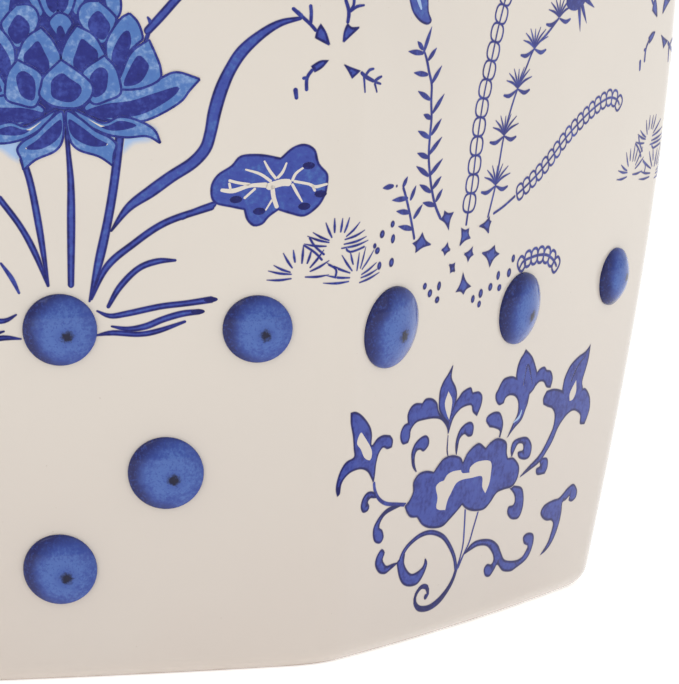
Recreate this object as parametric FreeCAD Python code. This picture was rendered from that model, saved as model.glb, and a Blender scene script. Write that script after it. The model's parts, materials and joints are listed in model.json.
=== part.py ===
import FreeCAD, Part
import math
import os

from FreeCAD import Vector

# Hexagonal barrel-shaped garden stool in slab-built porcelain.
# Millimetres, +Z up. The origin is the middle of the foot, on the ground.
# Panel 1 faces -Y and the panels are counted anticlockwise as seen from above.

# Overall size
height = 457.0
foot_half_width = 119.8         # middle of a side to the axis, at the foot
belly_half_width = 153.7        # the same, at mid-height
belly_roundness = 0.75          # near 0 the wall is a straight double cone, far above 1 a parabola
side_bow_radius = 584.0         # each side bulges outward along this arc
panel_count = 6

# Soft outer corners
corner_radius_foot = 20.6
corner_radius_body = 14.8
corner_blend_height = 88.8      # the corner is at its body radius from here up
inner_corner_radius_least = 2.0

# Slab-built wall
wall = 13.0
foot_edge_radius = 4.5
station_step = 38.0             # the walls are lofted through sections this far apart
slip_gap = 0.3                  # thickness of the slip between luted pieces

# Seat
seat_edge_thickness = 17.0
seat_crown = 5.0
seat_edge_radius = 9.0
seat_coil_width = 14.0
seat_coil_height = 12.0
seat_coil_lip = 2.0

# Band that thickens the foot on the inside
foot_band_width = 17.0
foot_band_height = 16.0
foot_band_edge_radius = 4.0

# Clay coils pressed into the inner corners
corner_coil_radius = 8.5

# Coin-shaped openwork that serves as a hand-hold
coin_radius = 38.0
coin_rib = 7.5
side_coin_height = 286.0
side_coin_panels = (1, 4)
side_coin_reach = 60.0          # how far the cutters run either side of the wall

# Domed studs, thrown by hand and placed by eye on each panel:
# (along the panel, above the ground, times the usual radius)
stud_radius = 9.8
stud_dome = 3.0
stud_rim = 0.7
stud_slip = 0.1                 # thickness of the slip under a stud
lotus_row = ((-55.6, 91.4, 1.0), (5.0, 94.2, 0.98), (55.4, 91.7, 0.92))
weed_row = ((-58.4, 88.1, 1.11), (1.2, 84.8, 0.99), (53.3, 86.1, 0.8))
lotus_trio = ((-29.6, 55.0, 1.0), (29.5, 54.8, 1.0), (0.6, 30.3, 0.98))

half_angle = math.pi / panel_count


def half_width(z):
    """Distance from the axis to the middle of a side at height z."""
    away = abs(2.0 * z / height - 1.0)
    rise = math.hypot(away, belly_roundness) - belly_roundness
    full_rise = math.hypot(1.0, belly_roundness) - belly_roundness
    return belly_half_width - (belly_half_width - foot_half_width) * rise / full_rise


def corner_radius(z):
    """Outer corner radius, larger towards the foot and the seat."""
    from_end = min(z, height - z)
    share = min(max(from_end / corner_blend_height, 0.0), 1.0)
    return corner_radius_foot + (corner_radius_body - corner_radius_foot) * share


def inner_corner_radius(z):
    return max(corner_radius(z) - wall, inner_corner_radius_least)


def corner_centre(apothem, bow, radius):
    """Distance from the axis to the centre of a circle that touches two neighbouring sides."""
    bow_centre = apothem - bow
    along = bow_centre * math.cos(half_angle)
    return along + math.sqrt(along ** 2 - bow_centre ** 2 + (bow - radius) ** 2)


def polar(distance, angle, z):
    return Vector(distance * math.cos(angle), distance * math.sin(angle), z)


def side_facing(number):
    """Direction of the outward normal of panel 1, 2, 3 and so on."""
    return -math.pi / 2 + (number - 1) * 2 * half_angle


def circle_point(centre, radius, angle):
    return centre + polar(radius, angle, 0)


def arc(centre, radius, start, end):
    middle = (start + end) / 2
    return Part.Arc(
        circle_point(centre, radius, start),
        circle_point(centre, radius, middle),
        circle_point(centre, radius, end),
    ).toShape()


def side_edges(facing, z, inset, radius):
    """Half corner, side and half corner of one panel's outline, set in from the outer face."""
    apothem = half_width(z) - inset
    bow = side_bow_radius - inset
    reach = corner_centre(apothem, bow, radius)
    bow_centre = apothem - bow
    spread = math.atan2(reach * math.sin(half_angle), reach * math.cos(half_angle) - bow_centre)
    before = polar(reach, facing - half_angle, z)
    after = polar(reach, facing + half_angle, z)
    return [
        arc(before, radius, facing - half_angle, facing - spread),
        arc(polar(bow_centre, facing, z), bow, facing - spread, facing + spread),
        arc(after, radius, facing + spread, facing + half_angle),
    ]


def section(z, inset, radius):
    """Closed outline of the whole hexagon at height z."""
    edges = []
    for number in range(1, panel_count + 1):
        edges += side_edges(side_facing(number), z, inset, radius)
    return Part.Wire(edges)


def panel_section(facing, z):
    """Closed outline of one slab at height z, cut off at the two mitres."""
    outer = side_edges(facing, z, 0.0, corner_radius(z))
    inner = side_edges(facing, z, wall, inner_corner_radius(z))
    outer_start = outer[0].Vertexes[0].Point
    outer_end = outer[-1].Vertexes[-1].Point
    inner_start = inner[0].Vertexes[0].Point
    inner_end = inner[-1].Vertexes[-1].Point
    closing = [Part.makeLine(outer_end, inner_end), Part.makeLine(inner_start, outer_start)]
    return Part.Wire(Part.sortEdges(outer + closing + inner)[0])


def stations(low, high):
    """Heights from low to high, evenly spaced and at most a station step apart."""
    count = max(2, math.ceil((high - low) / station_step))
    return [low + (high - low) * step / count for step in range(count + 1)]


def wall_top():
    return height - seat_edge_thickness - seat_crown


def coin_cutters():
    """The five openings of the coin, as flat faces around the origin."""
    disc = Part.Face(Part.Wire(Part.makeCircle(coin_radius)))
    centre_opening = disc
    faces = []
    for quarter in range(4):
        corner = polar(coin_radius * math.sqrt(2), math.pi / 4 + quarter * math.pi / 2, 0)
        up = Vector(0, 0, 1)
        outside_rib = Part.Face(Part.Wire(Part.makeCircle(coin_radius - coin_rib / 2, corner, up)))
        with_rib = Part.Face(Part.Wire(Part.makeCircle(coin_radius + coin_rib / 2, corner, up)))
        faces.append(disc.common(outside_rib).Faces[0])
        centre_opening = centre_opening.cut(with_rib)
    middle = min(centre_opening.Faces, key=lambda face: face.CenterOfMass.Length)
    faces.append(middle)
    return faces


def coin_tool(placement, depth):
    """The coin's openings as prisms, running `depth` either side of the placed origin."""
    prisms = []
    for face in coin_cutters():
        prism = face.extrude(Vector(0, 0, 2 * depth))
        prism.translate(Vector(0, 0, -depth))
        prism.Placement = placement.multiply(prism.Placement)
        prisms.append(prism)
    return Part.makeCompound(prisms)


def middle_point(edge):
    return edge.valueAt((edge.FirstParameter + edge.LastParameter) / 2)


def edges_on(shape, outline):
    """Edges of a shape whose middle lies on the given outline."""
    near = 0.01
    found = []
    for edge in shape.Edges:
        if Part.Vertex(middle_point(edge)).distToShape(outline)[0] < near:
            found.append(edge)
    return found


def make_panel(number):
    """One mitred slab, with its lower outer edge softened."""
    facing = side_facing(number)
    outlines = [panel_section(facing, z) for z in stations(0.0, wall_top())]
    slab = Part.makeLoft(outlines, True, False)
    lower_outline = Part.Wire(side_edges(facing, 0.0, 0.0, corner_radius(0.0)))
    slab = slab.makeFillet(foot_edge_radius, edges_on(slab, lower_outline))
    if number in side_coin_panels:
        turn = FreeCAD.Rotation(Vector(0, 0, 1), polar(1.0, facing, 0))
        upright = FreeCAD.Placement(polar(half_width(side_coin_height), facing, side_coin_height), turn)
        slab = slab.cut(coin_tool(upright, side_coin_reach))
    return slab


def make_seat():
    """Crowned seat slab with a softened edge and a coin-shaped opening in the middle."""
    low = wall_top()
    outlines = [section(z, 0.0, corner_radius(z)) for z in stations(low, height)]
    block = Part.makeLoft(outlines, True, False)
    rim = half_width(height)
    crown_radius = (rim ** 2 + seat_crown ** 2) / (2 * seat_crown)
    ball = Part.makeSphere(crown_radius, Vector(0, 0, height - crown_radius))
    slab = block.common(ball)
    top_edges = []
    for edge in slab.Edges:
        lowest = min(vertex.Z for vertex in edge.Vertexes)
        middle = middle_point(edge)
        on_rim = math.hypot(middle.x, middle.y) > rim * 0.9
        if on_rim and lowest > low + seat_edge_thickness / 2:
            top_edges.append(edge)
    slab = slab.makeFillet(seat_edge_radius, top_edges)
    depth = seat_edge_thickness + seat_crown
    middle_of_slab = FreeCAD.Placement(Vector(0, 0, height - depth / 2), FreeCAD.Rotation())
    return slab.cut(coin_tool(middle_of_slab, depth))


def make_seat_coil():
    """Wedge of clay pressed into the angle between the wall and the seat."""
    top = wall_top()
    low = top - seat_coil_height
    inset = wall + slip_gap
    outer_heights = stations(low, top)
    outer = [section(z, inset, inner_corner_radius(z)) for z in outer_heights]
    lip = section(low, inset + seat_coil_lip, inner_corner_radius(low))
    shelf = section(top, inset + seat_coil_width, inner_corner_radius(top))
    return Part.makeLoft(outer, True, False).cut(Part.makeLoft([lip, shelf], True, True))


def make_foot_band():
    """Band of clay that thickens the foot on the inside."""
    inset = wall + slip_gap
    heights = stations(0.0, foot_band_height)
    outer = Part.makeLoft([section(z, inset, inner_corner_radius(z)) for z in heights], True, False)
    inner_inset = inset + foot_band_width
    bore = [section(z, inner_inset, inner_corner_radius(z)) for z in heights]
    band = outer.cut(Part.makeLoft(bore, True, False))
    upper_rim = section(foot_band_height, inner_inset, inner_corner_radius(foot_band_height))
    return band.makeFillet(foot_band_edge_radius, edges_on(band, upper_rim))


def make_corner_coil(number):
    """Round coil of clay in the inner corner after panel `number`."""
    direction = side_facing(number) + half_angle
    low = foot_band_height
    high = wall_top() - seat_coil_height
    rings = []
    for z in stations(low, high):
        clear_radius = corner_coil_radius + slip_gap
        reach = corner_centre(half_width(z) - wall, side_bow_radius - wall, clear_radius)
        rings.append(Part.Wire(Part.makeCircle(corner_coil_radius, polar(reach, direction, z))))
    return Part.makeLoft(rings, True, False)


def surface_point(facing, along, z):
    """Point on a panel's outer face and the outward normal there."""
    bow_centre = half_width(z) - side_bow_radius
    angle = math.asin(along / side_bow_radius)
    local_out = bow_centre + side_bow_radius * math.cos(angle)
    point = polar(local_out, facing, z) + polar(along, facing + math.pi / 2, 0)
    step = 0.5
    slope = (half_width(z + step) - half_width(z - step)) / (2 * step)
    normal = polar(1.0, facing + angle, 0) - Vector(0, 0, slope * math.cos(angle))
    normal.normalize()
    return point, normal


def stud_profile(radius):
    """Half outline of a stud: a short upright rim with a round dome on it."""
    dome_radius = (radius ** 2 + stud_dome ** 2) / (2 * stud_dome)
    top = Vector(0, 0, stud_rim + stud_dome)
    shoulder = Vector(radius, 0, stud_rim)
    part_way = math.asin(radius / dome_radius) / 2
    on_dome = Vector(
        dome_radius * math.sin(part_way), 0, top.z - dome_radius * (1 - math.cos(part_way)))
    return Part.Wire([
        Part.makeLine(Vector(0, 0, 0), Vector(radius, 0, 0)),
        Part.makeLine(Vector(radius, 0, 0), shoulder),
        Part.Arc(shoulder, on_dome, top).toShape(),
        Part.makeLine(top, Vector(0, 0, 0)),
    ])


def make_stud(facing, along, z, radius):
    """One domed stud, seated square on the panel's face."""
    point, normal = surface_point(facing, along, z)
    stud = Part.Face(stud_profile(radius)).revolve(Vector(0, 0, 0), Vector(0, 0, 1), 360)
    seat = point + normal * stud_slip
    stud.Placement = FreeCAD.Placement(seat, FreeCAD.Rotation(Vector(0, 0, 1), normal))
    return stud


def is_lotus(number):
    """The lotus and the water-weed panels alternate."""
    return number % 2 == 1


def make_studs(number, places, upside_down):
    """A group of studs on one panel; the upper groups are measured down from the seat."""
    facing = side_facing(number)
    studs = []
    for along, z, share in places:
        level = wall_top() - z if upside_down else z
        studs.append(make_stud(facing, along, level, stud_radius * share))
    return Part.makeCompound(studs)


def build():
    """Every piece of the stool by its node name."""
    pieces = {
        "seat_slab": make_seat(),
        "seat_joint_coil": make_seat_coil(),
        "foot_band": make_foot_band(),
    }
    for number in range(1, panel_count + 1):
        pieces["side_panel_%d" % number] = make_panel(number)
        pieces["corner_coil_%d" % number] = make_corner_coil(number)
        row = lotus_row if is_lotus(number) else weed_row
        pieces["lower_studs_%d" % number] = make_studs(number, row, False)
        pieces["upper_studs_%d" % number] = make_studs(number, row, True)
        if is_lotus(number):
            pieces["lower_trio_%d" % number] = make_studs(number, lotus_trio, False)
            pieces["upper_trio_%d" % number] = make_studs(number, lotus_trio, True)
    return pieces


os.makedirs("parts", exist_ok=True)
for name, shape in build().items():
    shape.exportStep("parts/%s.step" % name)
    print("%-16s solids %d valid %s volume %.0f mm3" % (
        name, len(shape.Solids), shape.isValid(), shape.Volume))
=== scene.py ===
"""Looks of a hexagonal porcelain garden stool: glazed walls, cobalt studs and blue underglaze painting.

Sizes in this file are millimetres unless a name says otherwise; meshes are made in metres.
"""

from __future__ import annotations

import json
import logging
import math
from dataclasses import dataclass, field
from enum import Enum
from math import cos, pi, sin
from typing import Any, Callable, Iterable, Optional, Sequence

import bmesh
import bpy
import numpy as np
from bpy.types import Material, Mesh, Node, NodeSocket, NodeTree, Object
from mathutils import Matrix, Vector
from mathutils.geometry import delaunay_2d_cdt

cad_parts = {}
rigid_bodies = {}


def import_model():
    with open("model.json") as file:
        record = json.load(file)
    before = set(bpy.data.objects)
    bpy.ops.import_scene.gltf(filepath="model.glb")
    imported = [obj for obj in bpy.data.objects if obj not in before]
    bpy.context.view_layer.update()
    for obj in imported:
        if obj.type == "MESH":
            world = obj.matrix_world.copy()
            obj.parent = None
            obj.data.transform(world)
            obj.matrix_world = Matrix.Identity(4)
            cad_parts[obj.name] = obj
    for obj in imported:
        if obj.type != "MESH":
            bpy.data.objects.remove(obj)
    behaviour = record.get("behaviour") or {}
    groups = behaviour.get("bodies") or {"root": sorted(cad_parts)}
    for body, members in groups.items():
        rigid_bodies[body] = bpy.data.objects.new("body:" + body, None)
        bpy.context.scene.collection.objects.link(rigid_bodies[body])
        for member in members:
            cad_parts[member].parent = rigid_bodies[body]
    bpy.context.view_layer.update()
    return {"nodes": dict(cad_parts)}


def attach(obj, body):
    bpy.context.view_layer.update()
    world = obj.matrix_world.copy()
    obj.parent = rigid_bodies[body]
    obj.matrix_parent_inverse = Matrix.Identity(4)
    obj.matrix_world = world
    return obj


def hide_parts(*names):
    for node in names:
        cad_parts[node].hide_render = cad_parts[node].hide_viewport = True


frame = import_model()

LOG = logging.getLogger("garden_stool")
MM = 0.001
SIDES = 6

Point = tuple[float, ...]
Points = Sequence[Point]
Place = tuple[float, float, float]
Ring = tuple[float, float, float, float]
Colour = tuple[float, float, float, float]


class Tone(Enum):
    """How strong a wash of cobalt is, from pale water to the outline brush."""

    RESERVE = -1.0
    MIST = 0.0
    WASH = 0.3
    LEAF = 0.6
    FULL = 0.7
    DEEP = 0.8
    LINE = 1.0


class Edge(Enum):
    """How far a painted edge bleeds into the glaze, in millimetres."""

    CRISP = 0.0
    SOFT = 0.22
    BLEEDING = 1.6


RESERVE, MIST, WASH, LEAF, FULL, DEEP, LINE = Tone
CRISP, SOFT, BLEEDING = Edge


class Half(Enum):
    """Which half of the wall a group of studs belongs to."""

    LOWER = "lower"
    UPPER = "upper"


def arithmetic(operation: str, turned: bool = False) -> Callable[["Wire", Any], "Wire"]:
    """A wire's method for one kind of arithmetic; turned puts the other number first."""
    return lambda wire, other: wire.sheet.math(operation, *((other, wire) if turned else (wire, other)))


class Wire:
    """A number in a node tree that takes part in arithmetic."""

    __add__ = __radd__ = arithmetic("ADD")
    __sub__ = arithmetic("SUBTRACT")
    __rsub__ = arithmetic("SUBTRACT", turned=True)
    __mul__ = __rmul__ = arithmetic("MULTIPLY")
    __truediv__ = arithmetic("DIVIDE")

    def __init__(self, sheet: "NodeSheet", socket: NodeSocket) -> None:
        """Keeps the socket and the sheet it is on."""
        self.sheet = sheet
        self.socket = socket

    def __neg__(self) -> "Wire":
        """Opposite sign."""
        return self * -1.0

    def clipped(self, low: float = 0.0, high: float = 1.0) -> "Wire":
        """The number kept between two limits."""
        return self.sheet.math("MINIMUM", self.sheet.math("MAXIMUM", self, low), high)


class NodeSheet:
    """A node tree while it is being written."""

    def __init__(self, tree: NodeTree) -> None:
        """Keeps the tree."""
        self.tree = tree

    def node(self, kind: str, settings: Optional[dict[str, Any]] = None,
             values: Optional[dict[Any, Any]] = None) -> Node:
        """Adds a node.

        Args:
            kind: the node's type name.
            settings: properties of the node.
            values: what goes into its inputs, as for feed.

        Returns:
            The new node.
        """
        made = self.tree.nodes.new(kind)
        for name, value in (settings or {}).items():
            setattr(made, name, value)
        self.feed(made, values or {})
        return made

    def feed(self, node: Node, values: dict[Any, Any]) -> None:
        """Links or sets inputs of a node.

        Args:
            node: the node.
            values: what goes into its inputs, by name or number: a wire, a socket or a plain value.
        """
        for key, value in values.items():
            if isinstance(value, Wire):
                self.tree.links.new(value.socket, node.inputs[key])
            elif isinstance(value, NodeSocket):
                self.tree.links.new(value, node.inputs[key])
            else:
                node.inputs[key].default_value = value

    def wire(self, kind: str, output: Any = 0, settings: Optional[dict[str, Any]] = None,
             values: Optional[dict[Any, Any]] = None) -> Wire:
        """Adds a node and returns one of its outputs as a wire."""
        return Wire(self, self.node(kind, settings, values).outputs[output])

    def math(self, operation: str, *terms: Any) -> Wire:
        """One step of arithmetic on wires or plain numbers."""
        return self.wire("ShaderNodeMath", 0, {"operation": operation}, dict(enumerate(terms)))

    def mix(self, factor: Any, first: Any, second: Any) -> NodeSocket:
        """Mixes two colours, 0 for the first and 1 for the second, and returns the mixed socket."""
        made = self.node("ShaderNodeMix", {"data_type": "RGBA"}, {0: factor, 6: first, 7: second})
        return made.outputs[2]

    def parts(self, vector: NodeSocket) -> tuple[Wire, Wire, Wire]:
        """The three parts of a vector."""
        split = self.node("ShaderNodeSeparateXYZ", {}, {0: vector}).outputs
        return Wire(self, split[0]), Wire(self, split[1]), Wire(self, split[2])

    def vector(self, x: Any, y: Any, z: Any) -> NodeSocket:
        """A vector from its three parts."""
        return self.node("ShaderNodeCombineXYZ", {}, {0: x, 1: y, 2: z}).outputs[0]

    def length(self, x: Wire, y: Wire) -> Wire:
        """Length of a flat vector."""
        return self.math("SQRT", x * x + y * y)

    def ease(self, value: Wire, low: float, high: float) -> Wire:
        """A soft switch from 0 at low to 1 at high."""
        return self.wire("ShaderNodeMapRange", 0, {"interpolation_type": "SMOOTHSTEP"},
                         {0: value, 1: low, 2: high, 3: 0.0, 4: 1.0})

    def noise(self, where: Any, scale: float, detail: float = 2.0, roughness: float = 0.5) -> Wire:
        """Cloudy noise from 0 to 1; scale counts its features in a metre."""
        return self.wire("ShaderNodeTexNoise", 0, {},
                         {"Vector": where, "Scale": scale, "Detail": detail, "Roughness": roughness})


def srgb(red: float, green: float, blue: float) -> Colour:
    """A colour by its 0 to 255 screen values.

    Args:
        red: red part.
        green: green part.
        blue: blue part.

    Returns:
        The linear colour with full alpha.
    """
    parts = [value / 255.0 for value in (red, green, blue)]
    linear = [((part + 0.055) / 1.055) ** 2.4 if part > 0.04045 else part / 12.92 for part in parts]
    return (linear[0], linear[1], linear[2], 1.0)


class Finish:
    """A node material while it is being written."""

    def __init__(self, name: str) -> None:
        """Starts the material with its surface shader and the place that is being shaded."""
        self.material = bpy.data.materials.new(name)
        self.material.use_nodes = True
        self.sheet = NodeSheet(self.material.node_tree)
        self.shader = self.material.node_tree.nodes["Principled BSDF"]
        self.place = self.sheet.node("ShaderNodeTexCoord").outputs["Object"]

    def bump(self, strength: float, distance: float, height: Wire) -> NodeSocket:
        """The normal of a bumpy surface; distance is the bumps' height, in metres."""
        return self.sheet.node("ShaderNodeBump", {}, {"Strength": strength, "Distance": distance,
                                                      "Height": height}).outputs[0]

    def done(self, colour: Any, roughness: Any, **others: Any) -> Material:
        """Feeds the surface shader.

        Args:
            colour: base colour.
            roughness: roughness.
            others: further inputs, with underscores for the spaces in their names.

        Returns:
            The material.
        """
        further = {name.replace("_", " "): value for name, value in others.items()}
        self.sheet.feed(self.shader, {"Base Color": colour, "Roughness": roughness, **further})
        return self.material


@dataclass(frozen=True)
class GlazeColour:
    """The warm white of the porcelain under its clear glaze."""

    upper: Colour = srgb(206, 198, 188)
    lower: Colour = srgb(197, 187, 178)
    cloud: Colour = srgb(200, 192, 183)
    speck: Colour = srgb(174, 160, 147)
    foot_height: float = 120.0

    def socket(self, sheet: NodeSheet, place: NodeSocket) -> NodeSocket:
        """Writes the colour.

        Args:
            sheet: sheet of the finish that uses it.
            place: the place that is being shaded.

        Returns:
            The colour's socket.
        """
        # Darker towards the foot, blending up to foot_height.
        level = sheet.parts(place)[2]
        tall = sheet.ease(level, 0.0, self.foot_height * MM)
        colour = sheet.mix(tall, self.lower, self.upper)
        cloud = sheet.ease(sheet.noise(place, 14.0, 3.0), 0.42, 0.75)
        colour = sheet.mix(cloud * 0.45, colour, self.cloud)
        speck = sheet.ease(sheet.noise(place, 900.0, 1.0), 0.80, 0.84)
        return sheet.mix(speck * 0.5, colour, self.speck)


@dataclass(frozen=True)
class ClearGlaze:
    """Clear gloss glaze over warm white porcelain; the foot's underside is wiped bare."""

    colour: GlazeColour = GlazeColour()
    bare: Colour = srgb(178, 164, 153)
    gloss: float = 0.13
    shine: float = 0.4
    bare_height: float = 0.7
    wiped_band: float = 0.5

    def material(self) -> Material:
        """Builds the material."""
        finish = Finish("painted_glaze")
        sheet, place = finish.sheet, finish.place
        level = sheet.parts(place)[2]
        ragged = level + (sheet.noise(place, 120.0) - 0.5) * 0.0012
        glazed = sheet.ease(ragged, (self.bare_height - self.wiped_band) * MM, self.bare_height * MM)
        colour = sheet.mix(glazed, self.bare, self.colour.socket(sheet, place))
        rough = (1.0 - glazed) * 0.55 + self.gloss + (sheet.noise(place, 60.0) - 0.5) * 0.04
        wavy = finish.bump(0.16, 0.0006, sheet.noise(place, 55.0))
        return finish.done(colour, rough, Specular_IOR_Level=self.shine, Normal=wavy)


@dataclass(frozen=True)
class CobaltPainting:
    """Blue brushwork under the glaze: pale washes, pooled edges and dark outlines."""

    ground: GlazeColour = GlazeColour()
    mist: Colour = srgb(152, 176, 210)
    wash: Colour = srgb(74, 110, 170)
    leaf: Colour = srgb(56, 70, 148)
    deep: Colour = srgb(34, 40, 116)
    line: Colour = srgb(20, 22, 84)
    gloss: float = 0.13
    shine: float = 0.18

    def material(self) -> Material:
        """Builds the material."""
        finish = Finish("cobalt_painting")
        sheet, place = finish.sheet, finish.place
        depth, tone, bleed = [sheet.wire("ShaderNodeAttribute", 2, {"attribute_name": name})
                              for name in ("depth", "tone", "bleed")]
        mottle = sheet.noise(place, 700.0, 3.0, 0.6) - 0.5
        brush = sheet.noise(place, 160.0, 2.0) - 0.5
        pooled = sheet.ease(depth, 0.95, 0.5) * sheet.ease(tone, 0.35, 0.55)
        pooled = pooled * sheet.ease(tone, 0.79, 0.72)
        shade = tone + pooled * 0.34 - 0.04 + mottle * 0.5 + brush * 0.34
        colour = self.mist
        for low, high, darker in ((0.0, 0.3, self.wash), (0.3, 0.6, self.leaf), (0.6, 0.8, self.deep),
                                  (0.8, 1.0, self.line)):
            colour = sheet.mix(sheet.ease(shade, low, high), colour, darker)
        covered = (depth / sheet.math("MAXIMUM", bleed, 0.001)).clipped() * sheet.ease(tone, -0.6, -0.4)
        colour = sheet.mix(covered, self.ground.socket(sheet, place), colour)
        return finish.done(colour, self.gloss, Specular_IOR_Level=self.shine)


@dataclass(frozen=True)
class CobaltStud:
    """Cobalt brushed round a raised stud: dark at the rim and in the middle, mottled between, with painted
    shade on its left side and a painted highlight towards its right.
    """

    # The rim colour also gives the painted shade on the stud's left side; the lighter worn colour also
    # gives a painted highlight towards its right.
    rim: Colour = srgb(26, 30, 84)
    body: Colour = srgb(46, 66, 140)
    worn_and_painted_highlight: Colour = srgb(74, 102, 166)
    heart: Colour = srgb(14, 16, 46)
    heart_at: tuple[float, float] = (0.22, -0.08)
    gloss: float = 0.1
    shine: float = 0.3

    def material(self) -> Material:
        """Builds the material."""
        finish = Finish("cobalt_glaze")
        sheet, place = finish.sheet, finish.place
        local = sheet.node("ShaderNodeAttribute", {"attribute_name": "on_stud"}).outputs["Vector"]
        across, upward, _ = sheet.parts(local)
        far = sheet.length(across, upward)
        from_heart = sheet.length(across - self.heart_at[0], upward - self.heart_at[1])
        grain = sheet.noise(place, 900.0, 3.0, 0.65) - 0.5
        cloud = sheet.noise(place, 210.0, 3.0) - 0.5
        # Lighter mottled cobalt towards the middle, shifted to the right: thinner paint plus a painted
        # highlight on the right side.
        worn_and_painted_highlight = sheet.ease(far - across * 0.2 + cloud * 0.5 + grain * 1.1, 0.95, 0.35)
        colour = sheet.mix(worn_and_painted_highlight * 0.9, self.body, self.worn_and_painted_highlight)
        # Dark all round the rim and darker on the left: pooled cobalt plus painted shade on the left side.
        dark_rim_and_painted_shade = sheet.ease(far - across * 0.36 + cloud * 0.3, 0.66, 1.2)
        colour = sheet.mix(dark_rim_and_painted_shade, colour, self.rim)
        pepper = sheet.ease(sheet.noise(place, 1500.0, 2.0, 0.6), 0.52, 0.66)
        colour = sheet.mix(pepper * 0.55, colour, self.body)
        halo = sheet.ease(from_heart + cloud * 0.3, 0.42, 0.12)
        colour = sheet.mix(halo * 0.5, colour, self.body)
        spot = sheet.ease(from_heart + grain * 0.3, 0.22, 0.08)
        colour = sheet.mix(spot, colour, self.heart)
        relief = finish.bump(0.12, 0.0004, sheet.noise(place, 240.0))
        return finish.done(colour, self.gloss, Specular_IOR_Level=self.shine, Normal=relief)


@dataclass(frozen=True)
class BareClay:
    """Unglazed fired porcelain with finger marks and grit."""

    clay: Colour = srgb(214, 198, 182)
    toasted: Colour = srgb(196, 166, 142)
    roughness: float = 0.82

    def material(self) -> Material:
        """Builds the material."""
        finish = Finish("bare_porcelain")
        sheet, place = finish.sheet, finish.place
        toast = sheet.ease(sheet.noise(place, 22.0, 4.0), 0.45, 0.75)
        colour = sheet.mix(toast * 0.7, self.clay, self.toasted)
        grit = sheet.noise(place, 1400.0, 3.0, 0.7) + sheet.noise(place, 90.0) * 2.0
        return finish.done(colour, self.roughness, Normal=finish.bump(0.4, 0.0004, grit))


@dataclass(frozen=True)
class StudioFloor:
    """Plain pale floor, lit from all round."""

    pale: Colour = (0.93, 0.93, 0.93, 1.0)
    light: Colour = (1.0, 1.0, 1.0, 1.0)
    glow: float = 0.5
    roughness: float = 0.8

    def material(self) -> Material:
        """Builds the material."""
        return Finish("studio_floor").done(self.pale, self.roughness, Emission_Color=self.light,
                                           Emission_Strength=self.glow)


def add_object(name: str, mesh: Mesh) -> Object:
    """Puts a mesh into the scene.

    Args:
        name: name of the object.
        mesh: its mesh.

    Returns:
        The object.
    """
    made = bpy.data.objects.new(name, mesh)
    bpy.context.scene.collection.objects.link(made)
    return made


def finished_mesh(source: Object, name: str) -> Object:
    """Turns an object with live modifiers into a plain piece.

    Args:
        source: the object; it is removed.
        name: name of the piece.

    Returns:
        The piece, with every modifier's result in its mesh.
    """
    graph = bpy.context.evaluated_depsgraph_get()
    mesh = bpy.data.meshes.new_from_object(source.evaluated_get(graph), preserve_all_data_layers=True,
                                           depsgraph=graph)
    mesh.name = name
    bpy.data.objects.remove(source)
    return add_object(name, mesh)


def store(mesh: Mesh, name: str, values: Sequence[float]) -> None:
    """Keeps one number for each point of a mesh."""
    layer = mesh.attributes.new(name, "FLOAT", "POINT")
    layer.data.foreach_set("value", np.asarray(values, dtype=np.float32))


def hang(mesh: Mesh, anchor: float) -> None:
    """Hangs flat work at an anchor, in half sides from the middle of the front."""
    for name, value in (("anchor", anchor), ("shrink", 1.0), ("rise", 0.0)):
        store(mesh, name, [value] * len(mesh.vertices))


def tree_input(tree: NodeTree, name: str, kind: str) -> str:
    """Adds an input to a tree and returns its identifier."""
    return tree.interface.new_socket(name, in_out="INPUT", socket_type=kind).identifier


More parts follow.
